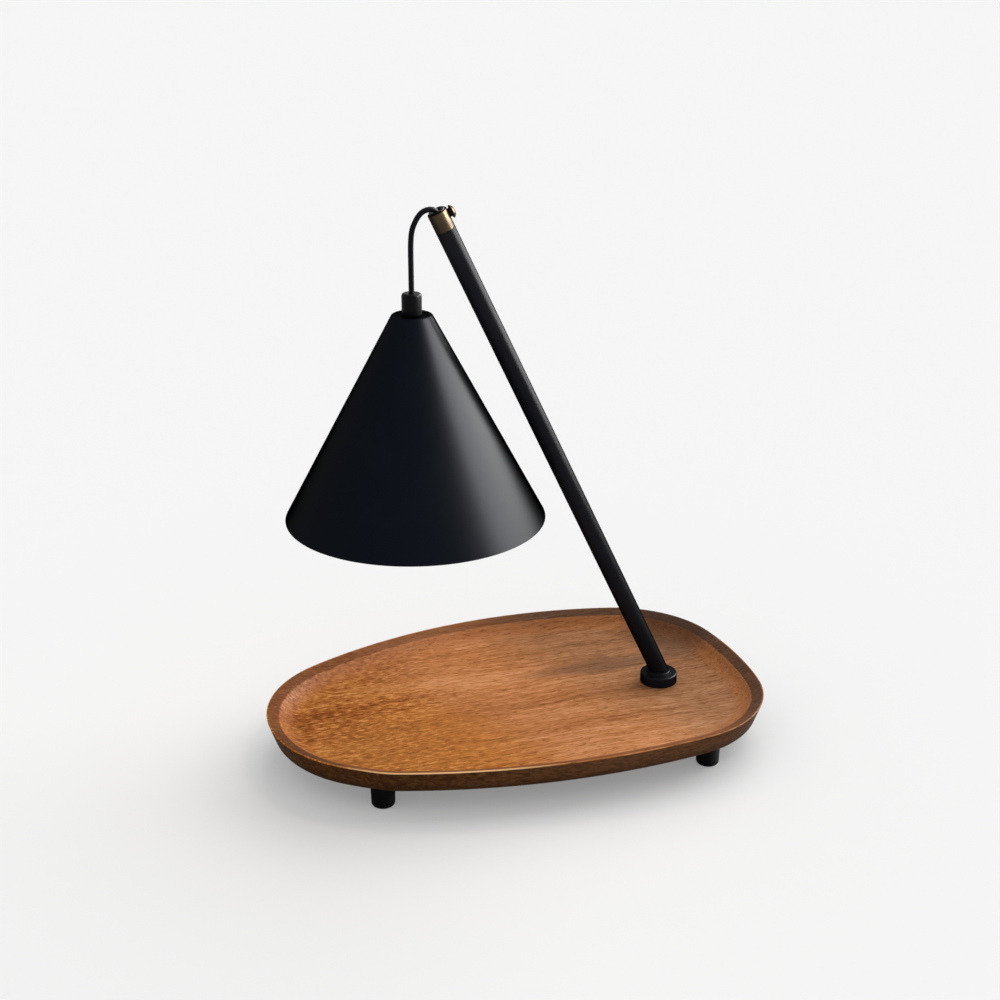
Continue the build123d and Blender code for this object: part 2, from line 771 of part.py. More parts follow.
block_head_z = block_low + wood_screw_head_height
nodes = {
    "wood_tray": wood_tray(),
    "foot_washers": Compound([place * foot_washer() for place in foot_places.values()]),
    "foot_screws": Compound([place * wood_screw(foot_washer_low) for place in foot_places.values()]),
    "arm_hub": arm_hub(),
    "hub_washer": hub_washer(),
    "hub_nut": hub_nut(),
    "arm_tube": arm_tube(),
    "tube_ferrule": tube_ferrule(),
    "cord_bush": cord_bush(),
    "clamp_pad": clamp_pad(),
    "thumb_screw": thumb_screw(),
    "screw_washer": screw_washer(),
    "arm_lead": arm_lead(),
    "lead_clip": lead_clip(),
    "clip_screws": Compound([place * wood_screw(under_z - clip_sheet) for place in clip_screw_places]),
    "mains_block": mains_block(),
    "block_screws": Compound([place * wood_screw(block_head_z) for place in block_screw_places]),
    "mains_gland": mains_gland(),
    "cord_bend": cord_bend(),
    "cord_drop": cord_drop(),
    "cord_grip": cord_grip(),
    "grip_screw": grip_screw(),
    "shade_nipple": shade_nipple(),
    "shade": shade(),
    "inner_washer": inner_washer(),
    "inner_nut": inner_nut(),
    "holder_bracket": holder_bracket(),
    "holder_screws": holder_screws(),
    "lamp_holder": lamp_holder(),
    "holder_contacts": holder_contacts(),
    "shade_lead": shade_lead(),
    "holder_wires": holder_wires(),
    "lamp_pins": lamp_pins(),
    "lamp_base": lamp_base(),
    "lamp_bowl": lamp_bowl(),
    "lamp_lens": lamp_lens(),
    "lamp_capsule": lamp_capsule(),
}
for name, place in foot_places.items():
    nodes[name] = place * rubber_foot()

os.makedirs("parts", exist_ok=True)
for name, shape in nodes.items():
    export_step(shape, f"parts/{name}.step")
whole = Compound(list(nodes.values())).bounding_box()
print(len(nodes), "nodes, from", whole.min, "to", whole.max)
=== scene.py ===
import json
import math

import bmesh
import bpy
from mathutils import Matrix, Vector


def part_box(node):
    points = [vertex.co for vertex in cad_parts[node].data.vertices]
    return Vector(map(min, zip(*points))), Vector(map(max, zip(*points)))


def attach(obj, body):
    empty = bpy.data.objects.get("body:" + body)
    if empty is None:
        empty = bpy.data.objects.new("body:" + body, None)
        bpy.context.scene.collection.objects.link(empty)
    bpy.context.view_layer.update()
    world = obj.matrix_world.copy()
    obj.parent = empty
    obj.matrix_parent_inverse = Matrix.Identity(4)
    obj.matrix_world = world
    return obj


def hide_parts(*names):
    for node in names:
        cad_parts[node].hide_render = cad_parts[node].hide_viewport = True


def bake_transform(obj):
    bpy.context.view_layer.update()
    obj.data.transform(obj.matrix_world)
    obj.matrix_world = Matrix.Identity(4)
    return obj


# A candle warmer lamp: oiled wooden tray, leaning black arm with a brass mouth, and a
# black cone of a shade that hangs on its cord. Metres, +Z up, front towards -Y.

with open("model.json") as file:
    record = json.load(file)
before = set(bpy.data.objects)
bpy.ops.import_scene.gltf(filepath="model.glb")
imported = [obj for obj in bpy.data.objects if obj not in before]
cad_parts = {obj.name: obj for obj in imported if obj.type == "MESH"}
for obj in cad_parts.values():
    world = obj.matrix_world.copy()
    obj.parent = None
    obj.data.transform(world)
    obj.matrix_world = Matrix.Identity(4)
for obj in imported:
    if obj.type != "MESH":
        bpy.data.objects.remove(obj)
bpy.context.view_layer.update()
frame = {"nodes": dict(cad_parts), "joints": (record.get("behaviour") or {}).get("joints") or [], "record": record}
nodes = frame["nodes"]
joints = {joint["name"]: joint for joint in frame["joints"]}
mm = 0.001

# Places read from the frame
shadeLow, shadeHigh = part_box("shade")
shadeX, shadeY = (shadeLow.x + shadeHigh.x) / 2, (shadeLow.y + shadeHigh.y) / 2
shadePlace = Matrix.Translation((shadeX, shadeY, 0))
armBack = Vector(joints["clamp_travel"]["axis"])  # square to the arm, away from the shade
armUp = Vector((-armBack.z, 0, armBack.x))
screwBelowMouth = 4.2 * mm
mouth = Vector(joints["thumb_turn"]["pos_m"]) + armUp * screwBelowMouth
armPlace = Matrix.Translation(mouth) @ Matrix((armBack, Vector((0, 1, 0)), armUp)).transposed().to_4x4()


def standing(low, high):
    # upright on the middle of a box
    return Matrix.Translation(((low.x + high.x) / 2, (low.y + high.y) / 2, 0))


# Camera

cameraSettings = {
    "place": (-0.30066, -0.92359, 0.53915),
    "tilt": 68.879,  # degrees up from straight down
    "turn": -17.57,
    "lens": 59.36,
}


def makeCamera(settings):
    lens = bpy.data.cameras.new("camera")
    lens.lens = settings["lens"]
    camera = bpy.data.objects.new("camera", lens)
    camera.location = settings["place"]
    camera.rotation_euler = (math.radians(settings["tilt"]), 0, math.radians(settings["turn"]))
    bpy.context.scene.collection.objects.link(camera)
    bpy.context.scene.camera = camera


makeCamera(cameraSettings)
print("camera placed")


# Shader tools

def paint(red, green, blue):
    # a colour given in screen values, as the linear colour a shader wants
    linear = [((v / 255 + 0.055) / 1.055) ** 2.4 if v > 10 else v / 255 / 12.92 for v in (red, green, blue)]
    return (*linear, 1)


class Value:
    # a socket that can be added, multiplied and so on like a number
    def __init__(self, finish, socket):
        self.finish = finish
        self.socket = socket

    def calc(self, operation, first, second):
        return self.finish.add("ShaderNodeMath", {"operation": operation}, {0: first, 1: second})

    def __add__(self, other):
        return self.calc("ADD", self, other)

    def __radd__(self, other):
        return self.calc("ADD", other, self)

    def __sub__(self, other):
        return self.calc("SUBTRACT", self, other)

    def __rsub__(self, other):
        return self.calc("SUBTRACT", other, self)

    def __mul__(self, other):
        return self.calc("MULTIPLY", self, other)

    def __rmul__(self, other):
        return self.calc("MULTIPLY", other, self)

    def __truediv__(self, other):
        return self.calc("DIVIDE", self, other)

    def __rtruediv__(self, other):
        return self.calc("DIVIDE", other, self)


class Finish:
    # the nodes of one material, or of the world
    def __init__(self, name, owner=None):
        self.material = owner or bpy.data.materials.new(name)
        self.material.use_nodes = True
        self.tree = self.material.node_tree
        self.tree.nodes.clear()

    def add(self, kind, settings=None, sockets=None, output=0):
        # sockets take a number, a colour or another node's value
        node = self.tree.nodes.new(kind)
        for name, setting in (settings or {}).items():
            if name == "stops":
                self.setStops(node.color_ramp, setting)
            else:
                setattr(node, name, setting)
        for name, value in (sockets or {}).items():
            if isinstance(value, Value):
                self.tree.links.new(value.socket, node.inputs[name])
            else:
                node.inputs[name].default_value = value
        return Value(self, node.outputs[output]) if node.outputs else None

    def setStops(self, ramp, stops):
        while len(ramp.elements) < len(stops):
            ramp.elements.new(0.5)
        for element, (position, colour) in zip(ramp.elements, stops):
            element.position = position
            element.color = colour

    def place(self):
        return self.add("ShaderNodeTexCoord", output="Object")

    def stretch(self, at, scale, turn=(0, 0, 0)):
        return self.add("ShaderNodeMapping", {}, {"Vector": at, "Scale": scale, "Rotation": turn})

    def split(self, at):
        # the X, Y and Z of a place
        node = self.add("ShaderNodeSeparateXYZ", {}, {0: at}).socket.node
        return [Value(self, output) for output in node.outputs]

    def vector(self, operation, *places, output=0):
        settings = {"operation": operation}
        return self.add("ShaderNodeVectorMath", settings, dict(enumerate(places)), output)

    def noise(self, at, scale, detail, roughness=0.5, output=0):
        sockets = {"Vector": at, "Scale": scale, "Detail": detail, "Roughness": roughness}
        return self.add("ShaderNodeTexNoise", {}, sockets, output)

    def fade(self, value, low, high):
        # 0 at low, 1 at high and smooth between, where low may be the greater of the two
        sockets = {"Value": value, "From Min": low, "From Max": high}
        return self.add("ShaderNodeMapRange", {"interpolation_type": "SMOOTHSTEP"}, sockets)

    def between(self, value, rise, fall):
        # 1 where both fades have come in
        return self.fade(value, *rise) * self.fade(value, *fall)

    def mix(self, share, first, second):
        # a colour mix has its two colours on sockets 6 and 7, and gives the third output
        return self.add("ShaderNodeMix", {"data_type": "RGBA"}, {0: share, 6: first, 7: second}, 2)

    def bump(self, height, strength, distance):
        sockets = {"Height": height, "Strength": strength, "Distance": distance}
        return self.add("ShaderNodeBump", {}, sockets)

    def surface(self, sockets):
        shader = self.add("ShaderNodeBsdfPrincipled", {}, sockets)
        self.add("ShaderNodeOutputMaterial", {}, {"Surface": shader})
        return self.material


# Wood

woodLook = {
    # colours from dark to light strokes, for the left, the middle and the far right of the tray
    "palettes": (
        (paint(118, 62, 22), paint(174, 102, 43), paint(220, 156, 86)),
        (paint(138, 84, 44), paint(187, 121, 71), paint(214, 154, 108)),
        (paint(102, 64, 40), paint(151, 102, 66), paint(180, 132, 94)),
    ),
    "toneStops": (0.3, 0.5, 0.72),
    "zones": ((-0.075, -0.01), (0.02, 0.10)),  # metres along the tray where each palette gives way
    "slant": 0.5,  # how far those zones lean, as metres along for each metre across

    # noise scale, and how far the grain strays along, across and down, in metres
    "wander": ((11.0, (0.0, 0.014, 0.008)), (90.0, (0.003, 0.0028, 0.0015))),
    # strokes per metre along, across and down, turn in the tray's plane, detail and roughness
    "grain": {
        "broad": ((5, 42, 42), 0, 2.0, 0.5),
        "lines": ((24, 480, 480), 0, 4.0, 0.65),
        "crinkle": ((190, 540, 540), -0.5, 3.0, 0.6),
        "fibres": ((120, 1000, 1000), 0, 3.0, 0.6),
        "ticks": ((190, 1000, 1000), 0, 1.0, 0.5),
    },
    # how much each layer of grain moves the tone
    "overall": {"broad": 0.4},
    "straight": {"lines": 0.68, "fibres": 0.58},
    "crinkled": {"crinkle": 1.15, "lines": 0.3, "fibres": 0.5},
    "crinkleRun": (0.03, -0.06),  # metres along the tray over which the grain turns crinkled
    "crinkleEdge": 0.06,  # how far the broad grain moves that change
    "poreCut": (0.40, 0.34),  # ticks darker than this are pores

    # zones of the rim, in metres inwards from the tray's edge, and below 0 down its side
    "lipZone": ((-0.0006, 0.0002), (0.0018, 0.001)),
    "bandZone": ((0.0082, 0.0076), (0.0006, 0.0014)),
    "coveZone": ((0.0076, 0.009), (0.020, 0.014)),
    "sideZone": (0.0004, -0.0006),
    "lowSideShadeZone": (-0.008, -0.014),

    # ovals on the tray: middle, and half their length and width
    "smudges": {
        # the near left under the shade, lighter: partly the wood's tone, partly painted light
        "nearLeft": ((-0.080, -0.042), (0.085, 0.055)),
        # the far left, darker: partly the wood's tone, partly painted shade
        "farLeft": ((-0.100, 0.055), (0.065, 0.035)),
        # the front left, where painted shade darkens the band
        "frontLeftShadePatch": ((-0.130, -0.034), (0.042, 0.042)),
        # where the painted highlight runs along the front lip
        "front": ((-0.055, -0.080), (0.095, 0.034)),
        "streak": ((0.075, 0.030), (0.07, 0.013)),
        # the back right corner of the cove, darkened with painted shadow
        "corner": ((0.145, 0.060), (0.045, 0.045)),
    },
    "smudgeFade": (0.1, 1.0),  # squared distance from the middle where a smudge fades out

    # stains, and painted light and shade: colour, and how much of it shows
    # lighter and warmer under the shade: partly the wood's own tone, partly painted light
    "goldenToneAndPaintedLight": (paint(222, 150, 76), 0.26),
    # darker at the far left: partly the wood's own tone, partly painted shade
    "brownToneAndPaintedShade": (paint(120, 68, 34), 0.24),
    "cove": (paint(182, 114, 66), 0.45),
    # painted shade on the band at the front left
    "bandPaintedShade": (paint(58, 40, 30), 0.5),
    # painted shade along the low part of the outer side
    "sideFootPaintedShade": (paint(32, 24, 20), 0.4),
    "pore": (paint(70, 36, 16), 0.4),
    "paintedLipHighlight": (paint(246, 200, 146), 0.95),  # a painted highlight along the front lip

    # the darker band on the rim, that turns darker still towards the far right
    "band": paint(108, 64, 38),
    "bandFar": paint(50, 39, 35),
    "bandRun": (0.05, 0.115),
    "bandShare": 0.72,

    # the outer side, darker than the top partly by its own stain and partly as painted shade, with dark strokes,
    # and painted shade darker towards the left
    "side": paint(77, 53, 36),
    "sideDark": paint(43, 30, 21),
    "sideLeftPaintedShade": paint(25, 17, 12),
    "sideStrokes": (0.35, 0.6),
    "sideShadeRun": (-0.02, -0.11),
    "sideShare": 0.88,

    # grey on a streak of the grain, and painted shadow in the back right corner
    "grey": paint(68, 50, 42),
    "greyStreak": 0.55,
    "greyFibres": (0.2, 0.6),
    "cornerPaintedShadow": 0.65,

    "roughness": 0.5,
    "smootherLines": 0.12,
    "rougherPores": 0.2,
    "fibreRelief": 0.6,
    "poreRelief": 0.5,
    "crinkleRelief": 0.5,
    "reliefStrength": 0.35,
    "reliefHeight": 0.3 * mm,
    "specular": 0.01,
}


def bentGrain(finish, here, wander):
    # the place on the tray, moved a little to and fro, so that the grain wanders
    for scale, reach in wander:
        stray = finish.noise(here, scale, 2.0, output="Color")
        centred = finish.vector("SUBTRACT", stray, (0.5, 0.5, 0.5))
        here = finish.vector("MULTIPLY_ADD", centred, reach, here)
    return here


def grainLayer(finish, at, scale, turn, detail, roughness):
    return finish.noise(finish.stretch(at, scale, (0, 0, turn)), 1.0, detail, roughness)


def strokes(layers, shares):
    # layers of grain added up, each by its share, and 0 on average
    swings = [(layers[name] - 0.5) * share for name, share in shares.items()]
    return sum(swings[1:], swings[0])


def smudge(finish, x, y, middle, reach, limits):
    # 1 in the middle of an oval on the tray, 0 outside it
    across = (x - middle[0]) / reach[0]
    along = (y - middle[1]) / reach[1]
    return 1 - finish.fade(across * across + along * along, *limits)


def withStainAndPaintedLight(finish, wood, mask, overlay):
    colour, share = overlay
    return finish.mix(mask * share, wood, colour)


def oiledWood(look):
    finish = Finish("oiled_wood")
    here = finish.place()
    acrossRim = finish.add("ShaderNodeAttribute", {"attribute_name": "acrossRim"}, output="Fac")
    bent = bentGrain(finish, here, look["wander"])
    alongTray, acrossTray = finish.split(bent)[:2]
    layers = {name: grainLayer(finish, bent, *layer) for name, layer in look["grain"].items()}
    spots = {name: smudge(finish, alongTray, acrossTray, *oval, look["smudgeFade"])
             for name, oval in look["smudges"].items()}

    # straight strokes on the right, crinkled ones on the left
    leftness = finish.fade(alongTray + layers["broad"] * look["crinkleEdge"], *look["crinkleRun"])
    straight = strokes(layers, look["straight"])
    crinkled = strokes(layers, look["crinkled"])
    tone = 0.5 + strokes(layers, look["overall"]) + (straight + (crinkled - straight) * leftness)
    farness = alongTray + acrossTray * look["slant"]
    ramps = []
    for palette in look["palettes"]:
        stops = list(zip(look["toneStops"], palette))
        ramps.append(finish.add("ShaderNodeValToRGB", {"stops": stops}, {"Fac": tone}))
    wood = ramps[0]
    for ramp, zone in zip(ramps[1:], look["zones"]):
        wood = finish.mix(finish.fade(farness, *zone), wood, ramp)
    # under the shade, partly the wood's own tone and partly painted light
    wood = withStainAndPaintedLight(finish, wood, spots["nearLeft"], look["goldenToneAndPaintedLight"])
    # darker at the far left: partly the wood's own tone, partly painted shade
    wood = withStainAndPaintedLight(finish, wood, spots["farLeft"], look["brownToneAndPaintedShade"])

    # the rim: cove, band and outer side
    band = finish.between(acrossRim, *look["bandZone"])
    wood = withStainAndPaintedLight(finish, wood, finish.between(acrossRim, *look["coveZone"]), look["cove"])
    bandTone = finish.mix(finish.fade(farness, *look["bandRun"]), look["band"], look["bandFar"])
    wood = withStainAndPaintedLight(finish, wood, band, (bandTone, look["bandShare"]))
    # painted shade on the band at the front left
    wood = withStainAndPaintedLight(finish, wood, band * spots["frontLeftShadePatch"], look["bandPaintedShade"])
    # the outer side: its own darker stain and strokes, with painted shade over it, darkest towards the left
    sideToneAndShade = finish.fade(layers["crinkle"], *look["sideStrokes"])
    sideToneAndShade = finish.mix(sideToneAndShade, look["sideDark"], look["side"])
    sideToneAndShade = finish.mix(finish.fade(alongTray, *look["sideShadeRun"]), sideToneAndShade, look["sideLeftPaintedShade"])
    wood = withStainAndPaintedLight(finish, wood, finish.fade(acrossRim, *look["sideZone"]), (sideToneAndShade, look["sideShare"]))
    # painted shade along the low part of the outer side
    wood = withStainAndPaintedLight(finish, wood, finish.fade(acrossRim, *look["lowSideShadeZone"]), look["sideFootPaintedShade"])

    # pores, grey on a streak, painted shadow in the back right corner, and a painted highlight on the front lip
    pores = finish.fade(layers["ticks"], *look["poreCut"])
    wood = withStainAndPaintedLight(finish, wood, pores, look["pore"])
    greyFibres = finish.fade(layers["fibres"], *look["greyFibres"])
    # grey on the streak, and painted shadow in the back right corner
    grey = spots["streak"] * look["greyStreak"] * greyFibres + spots["corner"] * look["cornerPaintedShadow"]
    wood = finish.mix(grey, wood, look["grey"])
    # a painted highlight along the front lip
    lip = finish.between(acrossRim, *look["lipZone"])
    wood = withStainAndPaintedLight(finish, wood, lip * spots["front"], look["paintedLipHighlight"])

    roughness = look["roughness"] - layers["lines"] * look["smootherLines"] + pores * look["rougherPores"]
    relief = layers["fibres"] * look["fibreRelief"] - pores * look["poreRelief"]
    relief = relief + layers["crinkle"] * leftness * look["crinkleRelief"]
    return finish.surface({
        "Base Color": wood,
        "Roughness": roughness,
        "Specular IOR Level": look["specular"],
        "Normal": finish.bump(relief, look["reliefStrength"], look["reliefHeight"]),
    })


# Black coats, rubber and plastic

def rimDarkeningCoat(tint):
    # a coat that reflects nothing and only darkens what is under it, most of all the rims: painted shade that dims
    # the reflection of the white surround
    return {"Coat Weight": 1.0, "Coat IOR": 1.0, "Coat Roughness": 0.4, "Coat Tint": (tint, tint, tint, 1)}


coatTexture = {
    "cloudScale": 28.0,
    "cloudFade": (0.35, 0.7),
    "cloudRoughness": 0.05,
    "grainRoughness": 0.02,
    "smoother": 0.03,  # taken off the roughness, because clouds and grain only add to it
    "grainStrength": 0.25,
}

# colour and tint are mixed in slow clouds, grain is per metre, rimDarkening is the tint of the coat that paints
# shade on the rims
coatLooks = {
    "foot_rubber": {
        "colour": (0.002, 0.002, 0.002, 1), "tint": (0.005, 0.005, 0.005, 1),
        "roughness": 0.62, "specular": 0.04, "grain": 2600, "grainHeight": 0.06 * mm,
    },
    "satin_black": {
        "colour": (0.0235, 0.0245, 0.034, 1), "tint": (0.0295, 0.0295, 0.040, 1),
        "roughness": 0.34, "specular": 0.07, "grain": 2200, "grainHeight": 0.02 * mm, "rimDarkening": 0.42,
    },
    "shade_black": {
        "colour": (0.0075, 0.0125, 0.0225, 1), "tint": (0.0095, 0.0145, 0.0245, 1),
        "roughness": 0.34, "specular": 0.082, "grain": 1700, "grainHeight": 0.02 * mm, "rimDarkening": 0.42,
    },
    "black_plastic": {
        "colour": (0.003, 0.003, 0.004, 1), "tint": (0.005, 0.005, 0.006, 1),
        "roughness": 0.38, "specular": 0.045, "grain": 3000, "grainHeight": 0.04 * mm,
    },
    "cord_sheath": {
        "colour": (0.004, 0.0035, 0.006, 1), "tint": (0.006, 0.0055, 0.008, 1),
        "roughness": 0.45, "specular": 0.045, "grain": 1500, "grainHeight": 0.03 * mm,
    },
    "core_sleeve": {
        "colour": paint(214, 206, 190), "tint": paint(190, 180, 160),
        "roughness": 0.6, "specular": 0.3, "grain": 1800, "grainHeight": 0.05 * mm,
    },
}


def coat(name):
    look, texture = coatLooks[name], coatTexture
    finish = Finish(name)
    here = finish.place()
    clouds = finish.noise(here, texture["cloudScale"], 4.0, 0.6)
    grain = finish.noise(here, look["grain"], 2.0)
    # the darkening coat paints shade on the rims
    rimDarkening = rimDarkeningCoat(look["rimDarkening"]) if "rimDarkening" in look else {}
    roughness = look["roughness"] - texture["smoother"]
    roughness = roughness + clouds * texture["cloudRoughness"] + grain * texture["grainRoughness"]
    return finish.surface({
        "Base Color": finish.mix(finish.fade(clouds, *texture["cloudFade"]), look["colour"], look["tint"]),
        "Roughness": roughness,
        "Specular IOR Level": look["specular"],
        "Normal": finish.bump(grain, texture["grainStrength"], look["grainHeight"]),
        **rimDarkening,
    })


# Brass and other metal

brassLook = {
    "bright": (0.205, 0.146, 0.084, 1),
    "dark": (0.145, 0.104, 0.075, 1),
    "patinaScale": 260.0,
    "patinaFade": (0.35, 0.65),
    "roughness": 0.34,
    "patinaRoughness": 0.12,
    "marks": (20, 20, 2600.0),  # turning marks per metre, the last along the axis
    "marksRoughness": 0.05,
    "marksStrength": 0.12,
    "marksHeight": 0.05 * mm,
    "rimDarkening": 0.3,
}


def agedBrass(look):
    finish = Finish("aged_brass")
    here = finish.place()
    turn = (0, -math.atan2(armUp.x, armUp.z), 0)
    marks = finish.noise(finish.stretch(here, look["marks"], turn), 1.0, 2.0)
    patina = finish.noise(here, look["patinaScale"], 4.0, 0.6)
    uneven = look["patinaRoughness"]
    return finish.surface({
        "Base Color": finish.mix(finish.fade(patina, *look["patinaFade"]), look["bright"], look["dark"]),
        "Metallic": 1.0,
        "Roughness": look["roughness"] + patina * uneven - uneven / 2 + marks * look["marksRoughness"],
        "Normal": finish.bump(marks, look["marksStrength"], look["marksHeight"]),
        # the darkening coat paints shade on the brass's rims
        **rimDarkeningCoat(look["rimDarkening"]),
    })


platedTexture = {
    "cloudScale": 400.0,
    "cloudFade": (0.3, 0.7),
    "cloudRoughness": 0.15,
    "scratches": (300, 4000, 4000),  # per metre
    "scratchStrength": 0.1,
    "scratchHeight": 0.05 * mm,
}
platedLooks = {
    "zinc_steel": {"colour": (0.42, 0.43, 0.45, 1), "tint": (0.3, 0.31, 0.34, 1), "roughness": 0.28},
    "contact_brass": {"colour": (0.62, 0.45, 0.22, 1), "tint": (0.5, 0.36, 0.18, 1), "roughness": 0.22},
}


def platedMetal(name):
    look, texture = platedLooks[name], platedTexture
    finish = Finish(name)
    here = finish.place()
    cloud = finish.noise(here, texture["cloudScale"], 4.0, 0.6)
    scratches = finish.noise(finish.stretch(here, texture["scratches"]), 1.0, 2.0)
    return finish.surface({
        "Base Color": finish.mix(finish.fade(cloud, *texture["cloudFade"]), look["colour"], look["tint"]),
        "Metallic": 1.0,
        "Roughness": look["roughness"] + cloud * texture["cloudRoughness"],
        "Normal": finish.bump(scratches, texture["scratchStrength"], texture["scratchHeight"]),
    })


# Ceramic and glass

ceramicLook = {
    "glaze": paint(236, 232, 222),
    "shade": paint(224, 218, 204),
    "cloudScale": 120.0,
    "speck": paint(150, 138, 120),
    "speckScale": 1400.0,
    "speckCut": (0.72, 0.78),
    "speckShare": 0.5,
    "roughness": 0.18,
    "cloudRoughness": 0.1,
    "waviness": 0.1,
    "waveHeight": 0.2 * mm,
}


def glazedCeramic(look):
    finish = Finish("glazed_ceramic")
    here = finish.place()
    cloud = finish.noise(here, look["cloudScale"], 3.0)
    specks = finish.fade(finish.noise(here, look["speckScale"], 1.0), *look["speckCut"])
    colour = finish.mix(cloud, look["glaze"], look["shade"])
    return finish.surface({
        "Base Color": finish.mix(specks * look["speckShare"], colour, look["speck"]),
        "Roughness": look["roughness"] + cloud * look["cloudRoughness"],
        "Normal": finish.bump(cloud, look["waviness"], look["waveHeight"]),
    })


lensLook = {
    "glow": (1.0, 0.62, 0.28, 1),
    "heart": (1.0, 0.86, 0.62, 1),
    "heartFade": (0.1, 1.0),
    "strength": 9.0,
    "glass": (0.8, 0.7, 0.55, 1),
    "roughness": 0.25,
    "rings": 60.0,  # radians of ripple from the middle to the edge
    "ringStrength": 0.4,
    "ringHeight": 0.2 * mm,
}


def lampRadius(finish):
    # distance from the lamp's axis, from 0 at its middle to 1 at the lens's edge
    centred = finish.vector("SUBTRACT", finish.place(), (shadeX, shadeY, 0))
    flat = finish.vector("MULTIPLY", centred, (1, 1, 0))
    low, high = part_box("lamp_lens")
    return finish.vector("LENGTH", flat, output="Value") / ((high.x - low.x) / 2)


def litLens(look):
    finish = Finish("lit_lens")
    radius = lampRadius(finish)
    rings = finish.add("ShaderNodeMath", {"operation": "SINE"}, {0: radius * look["rings"]})
    return finish.surface({
        "Base Color": look["glass"],
        "Roughness": look["roughness"],
        "Emission Color": finish.mix(finish.fade(radius, *look["heartFade"]), look["heart"], look["glow"]),
        "Emission Strength": look["strength"],
        "Normal": finish.bump(rings, look["ringStrength"], look["ringHeight"]),
    })


mirrorLook = {
    "colour": (0.55, 0.5, 0.42, 1),
    "tint": (0.42, 0.42, 0.45, 1),
    "cloudScale": 90.0,
    "metallic": 0.85,
    "roughness": 0.12,
    "cloudRoughness": 0.12,
    "coat": 0.4,
    "coatRoughness": 0.05,
}


def mirroredGlass(look):
    finish = Finish("mirrored_glass")
    cloud = finish.noise(finish.place(), look["cloudScale"], 3.0)
    return finish.surface({
        "Base Color": finish.mix(cloud, look["colour"], look["tint"]),
        "Metallic": look["metallic"],
        "Roughness": look["roughness"] + cloud * look["cloudRoughness"],
        "Coat Weight": look["coat"],
        "Coat Roughness": look["coatRoughness"],
    })


finishes = {
    "wood": oiledWood(woodLook),
    "foot_rubber": coat("foot_rubber"),
    "screw_steel": platedMetal("zinc_steel"),
    "black_metal": coat("satin_black"),
    "shade_metal": coat("shade_black"),
    "aged_brass": agedBrass(brassLook),
    "black_plastic": coat("black_plastic"),
    "cord_sheath": coat("cord_sheath"),
    "core_sheath": coat("core_sleeve"),
    "holder_ceramic": glazedCeramic(ceramicLook),
    "contact_brass": platedMetal("contact_brass"),
    "lamp_glass": mirroredGlass(mirrorLook),
    "lens_glass": litLens(lensLook),
}
for row in frame["record"]["subparts"]:
    slots = nodes[row["node"]].data.materials
    slots.clear()
    slots.append(finishes[row["material_slot"]])
print("finishes:", len(finishes))


# Mesh tools

meshSettings = {
    "sharp": 35,  # degrees past which an edge is shaded sharp
    "steps": 96,  # faces round a turned piece
    "roundSteps": 4,
    "weld": 0.002 * mm,
}


def makePiece(name, mesh, slotName, stands, body=None, sharp=meshSettings["sharp"]):
    piece = bpy.data.objects.new(name, mesh)
    bpy.context.scene.collection.objects.link(piece)
    mesh.materials.clear()
    mesh.materials.append(finishes[slotName])
    mesh.shade_smooth()
    mesh.set_sharp_from_angle(angle=math.radians(sharp))
    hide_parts(*stands)
    if body:
        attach(piece, body)
    return piece


def meshFrom(name, bm):
    mesh = bpy.data.meshes.new(name)
    bm.to_mesh(mesh)
    bm.free()
    return mesh


def turned(profile, closed=True, steps=meshSettings["steps"], cuts=0):
    # profile is a list of (radius, height, rounding) in metres, turned about Z
    bm = bmesh.new()
    corners = [bm.verts.new((radius, 0, height)) for radius, height, rounding in profile]
    pairs = list(zip(corners, corners[1:]))
    if closed:
        pairs.append((corners[-1], corners[0]))
    for pair in pairs:
        bm.edges.new(pair)
    for corner, (radius, height, rounding) in zip(corners, profile):
        if rounding:
            bmesh.ops.bevel(bm, geom=[corner], offset=rounding, offset_type="OFFSET", profile=0.5,
                            segments=meshSettings["roundSteps"], affect="VERTICES", material=-1)
    if cuts:
        bmesh.ops.subdivide_edges(bm, edges=bm.edges[:], cuts=cuts)
    bmesh.ops.spin(bm, geom=bm.verts[:] + bm.edges[:], cent=(0, 0, 0), axis=(0, 0, 1),
                   dvec=(0, 0, 0), angle=2 * math.pi, steps=steps, use_merge=True)
    bmesh.ops.remove_doubles(bm, verts=bm.verts[:], dist=meshSettings["weld"])
    bmesh.ops.recalc_face_normals(bm, faces=bm.faces[:])
    return bm


def turnedPiece(name, profile, place, slotName, stands, body, closed=True, steps=meshSettings["steps"]):
    bm = turned(profile, closed, steps)
    bmesh.ops.transform(bm, matrix=place, verts=bm.verts[:])
    return makePiece(name, meshFrom(name, bm), slotName, stands, body)


# The free cord, from the bush over its lip and down to the shade's own stretch of cord

cordFacts = {
    "diameter": 3.3 * mm,
    "route": [  # the solid's own points
        (-0.046646, -0.0031, 0.348024),
        (-0.048557, -0.0031, 0.352074),
        (-0.056357, -0.0031, 0.351374),
        (-0.060957, -0.0031, 0.345474),
        (-0.063857, -0.0031, 0.337474),
        (-0.063857, -0.0031, 0.325724),
    ],
    "length": 0.0385,
    "bendStart": 0.345,  # a height on the cord's bend
    "stepsAlong": 20,
    "stepsRound": 7,
    "tailSteps": 32,
    "tailCuts": 14,
}


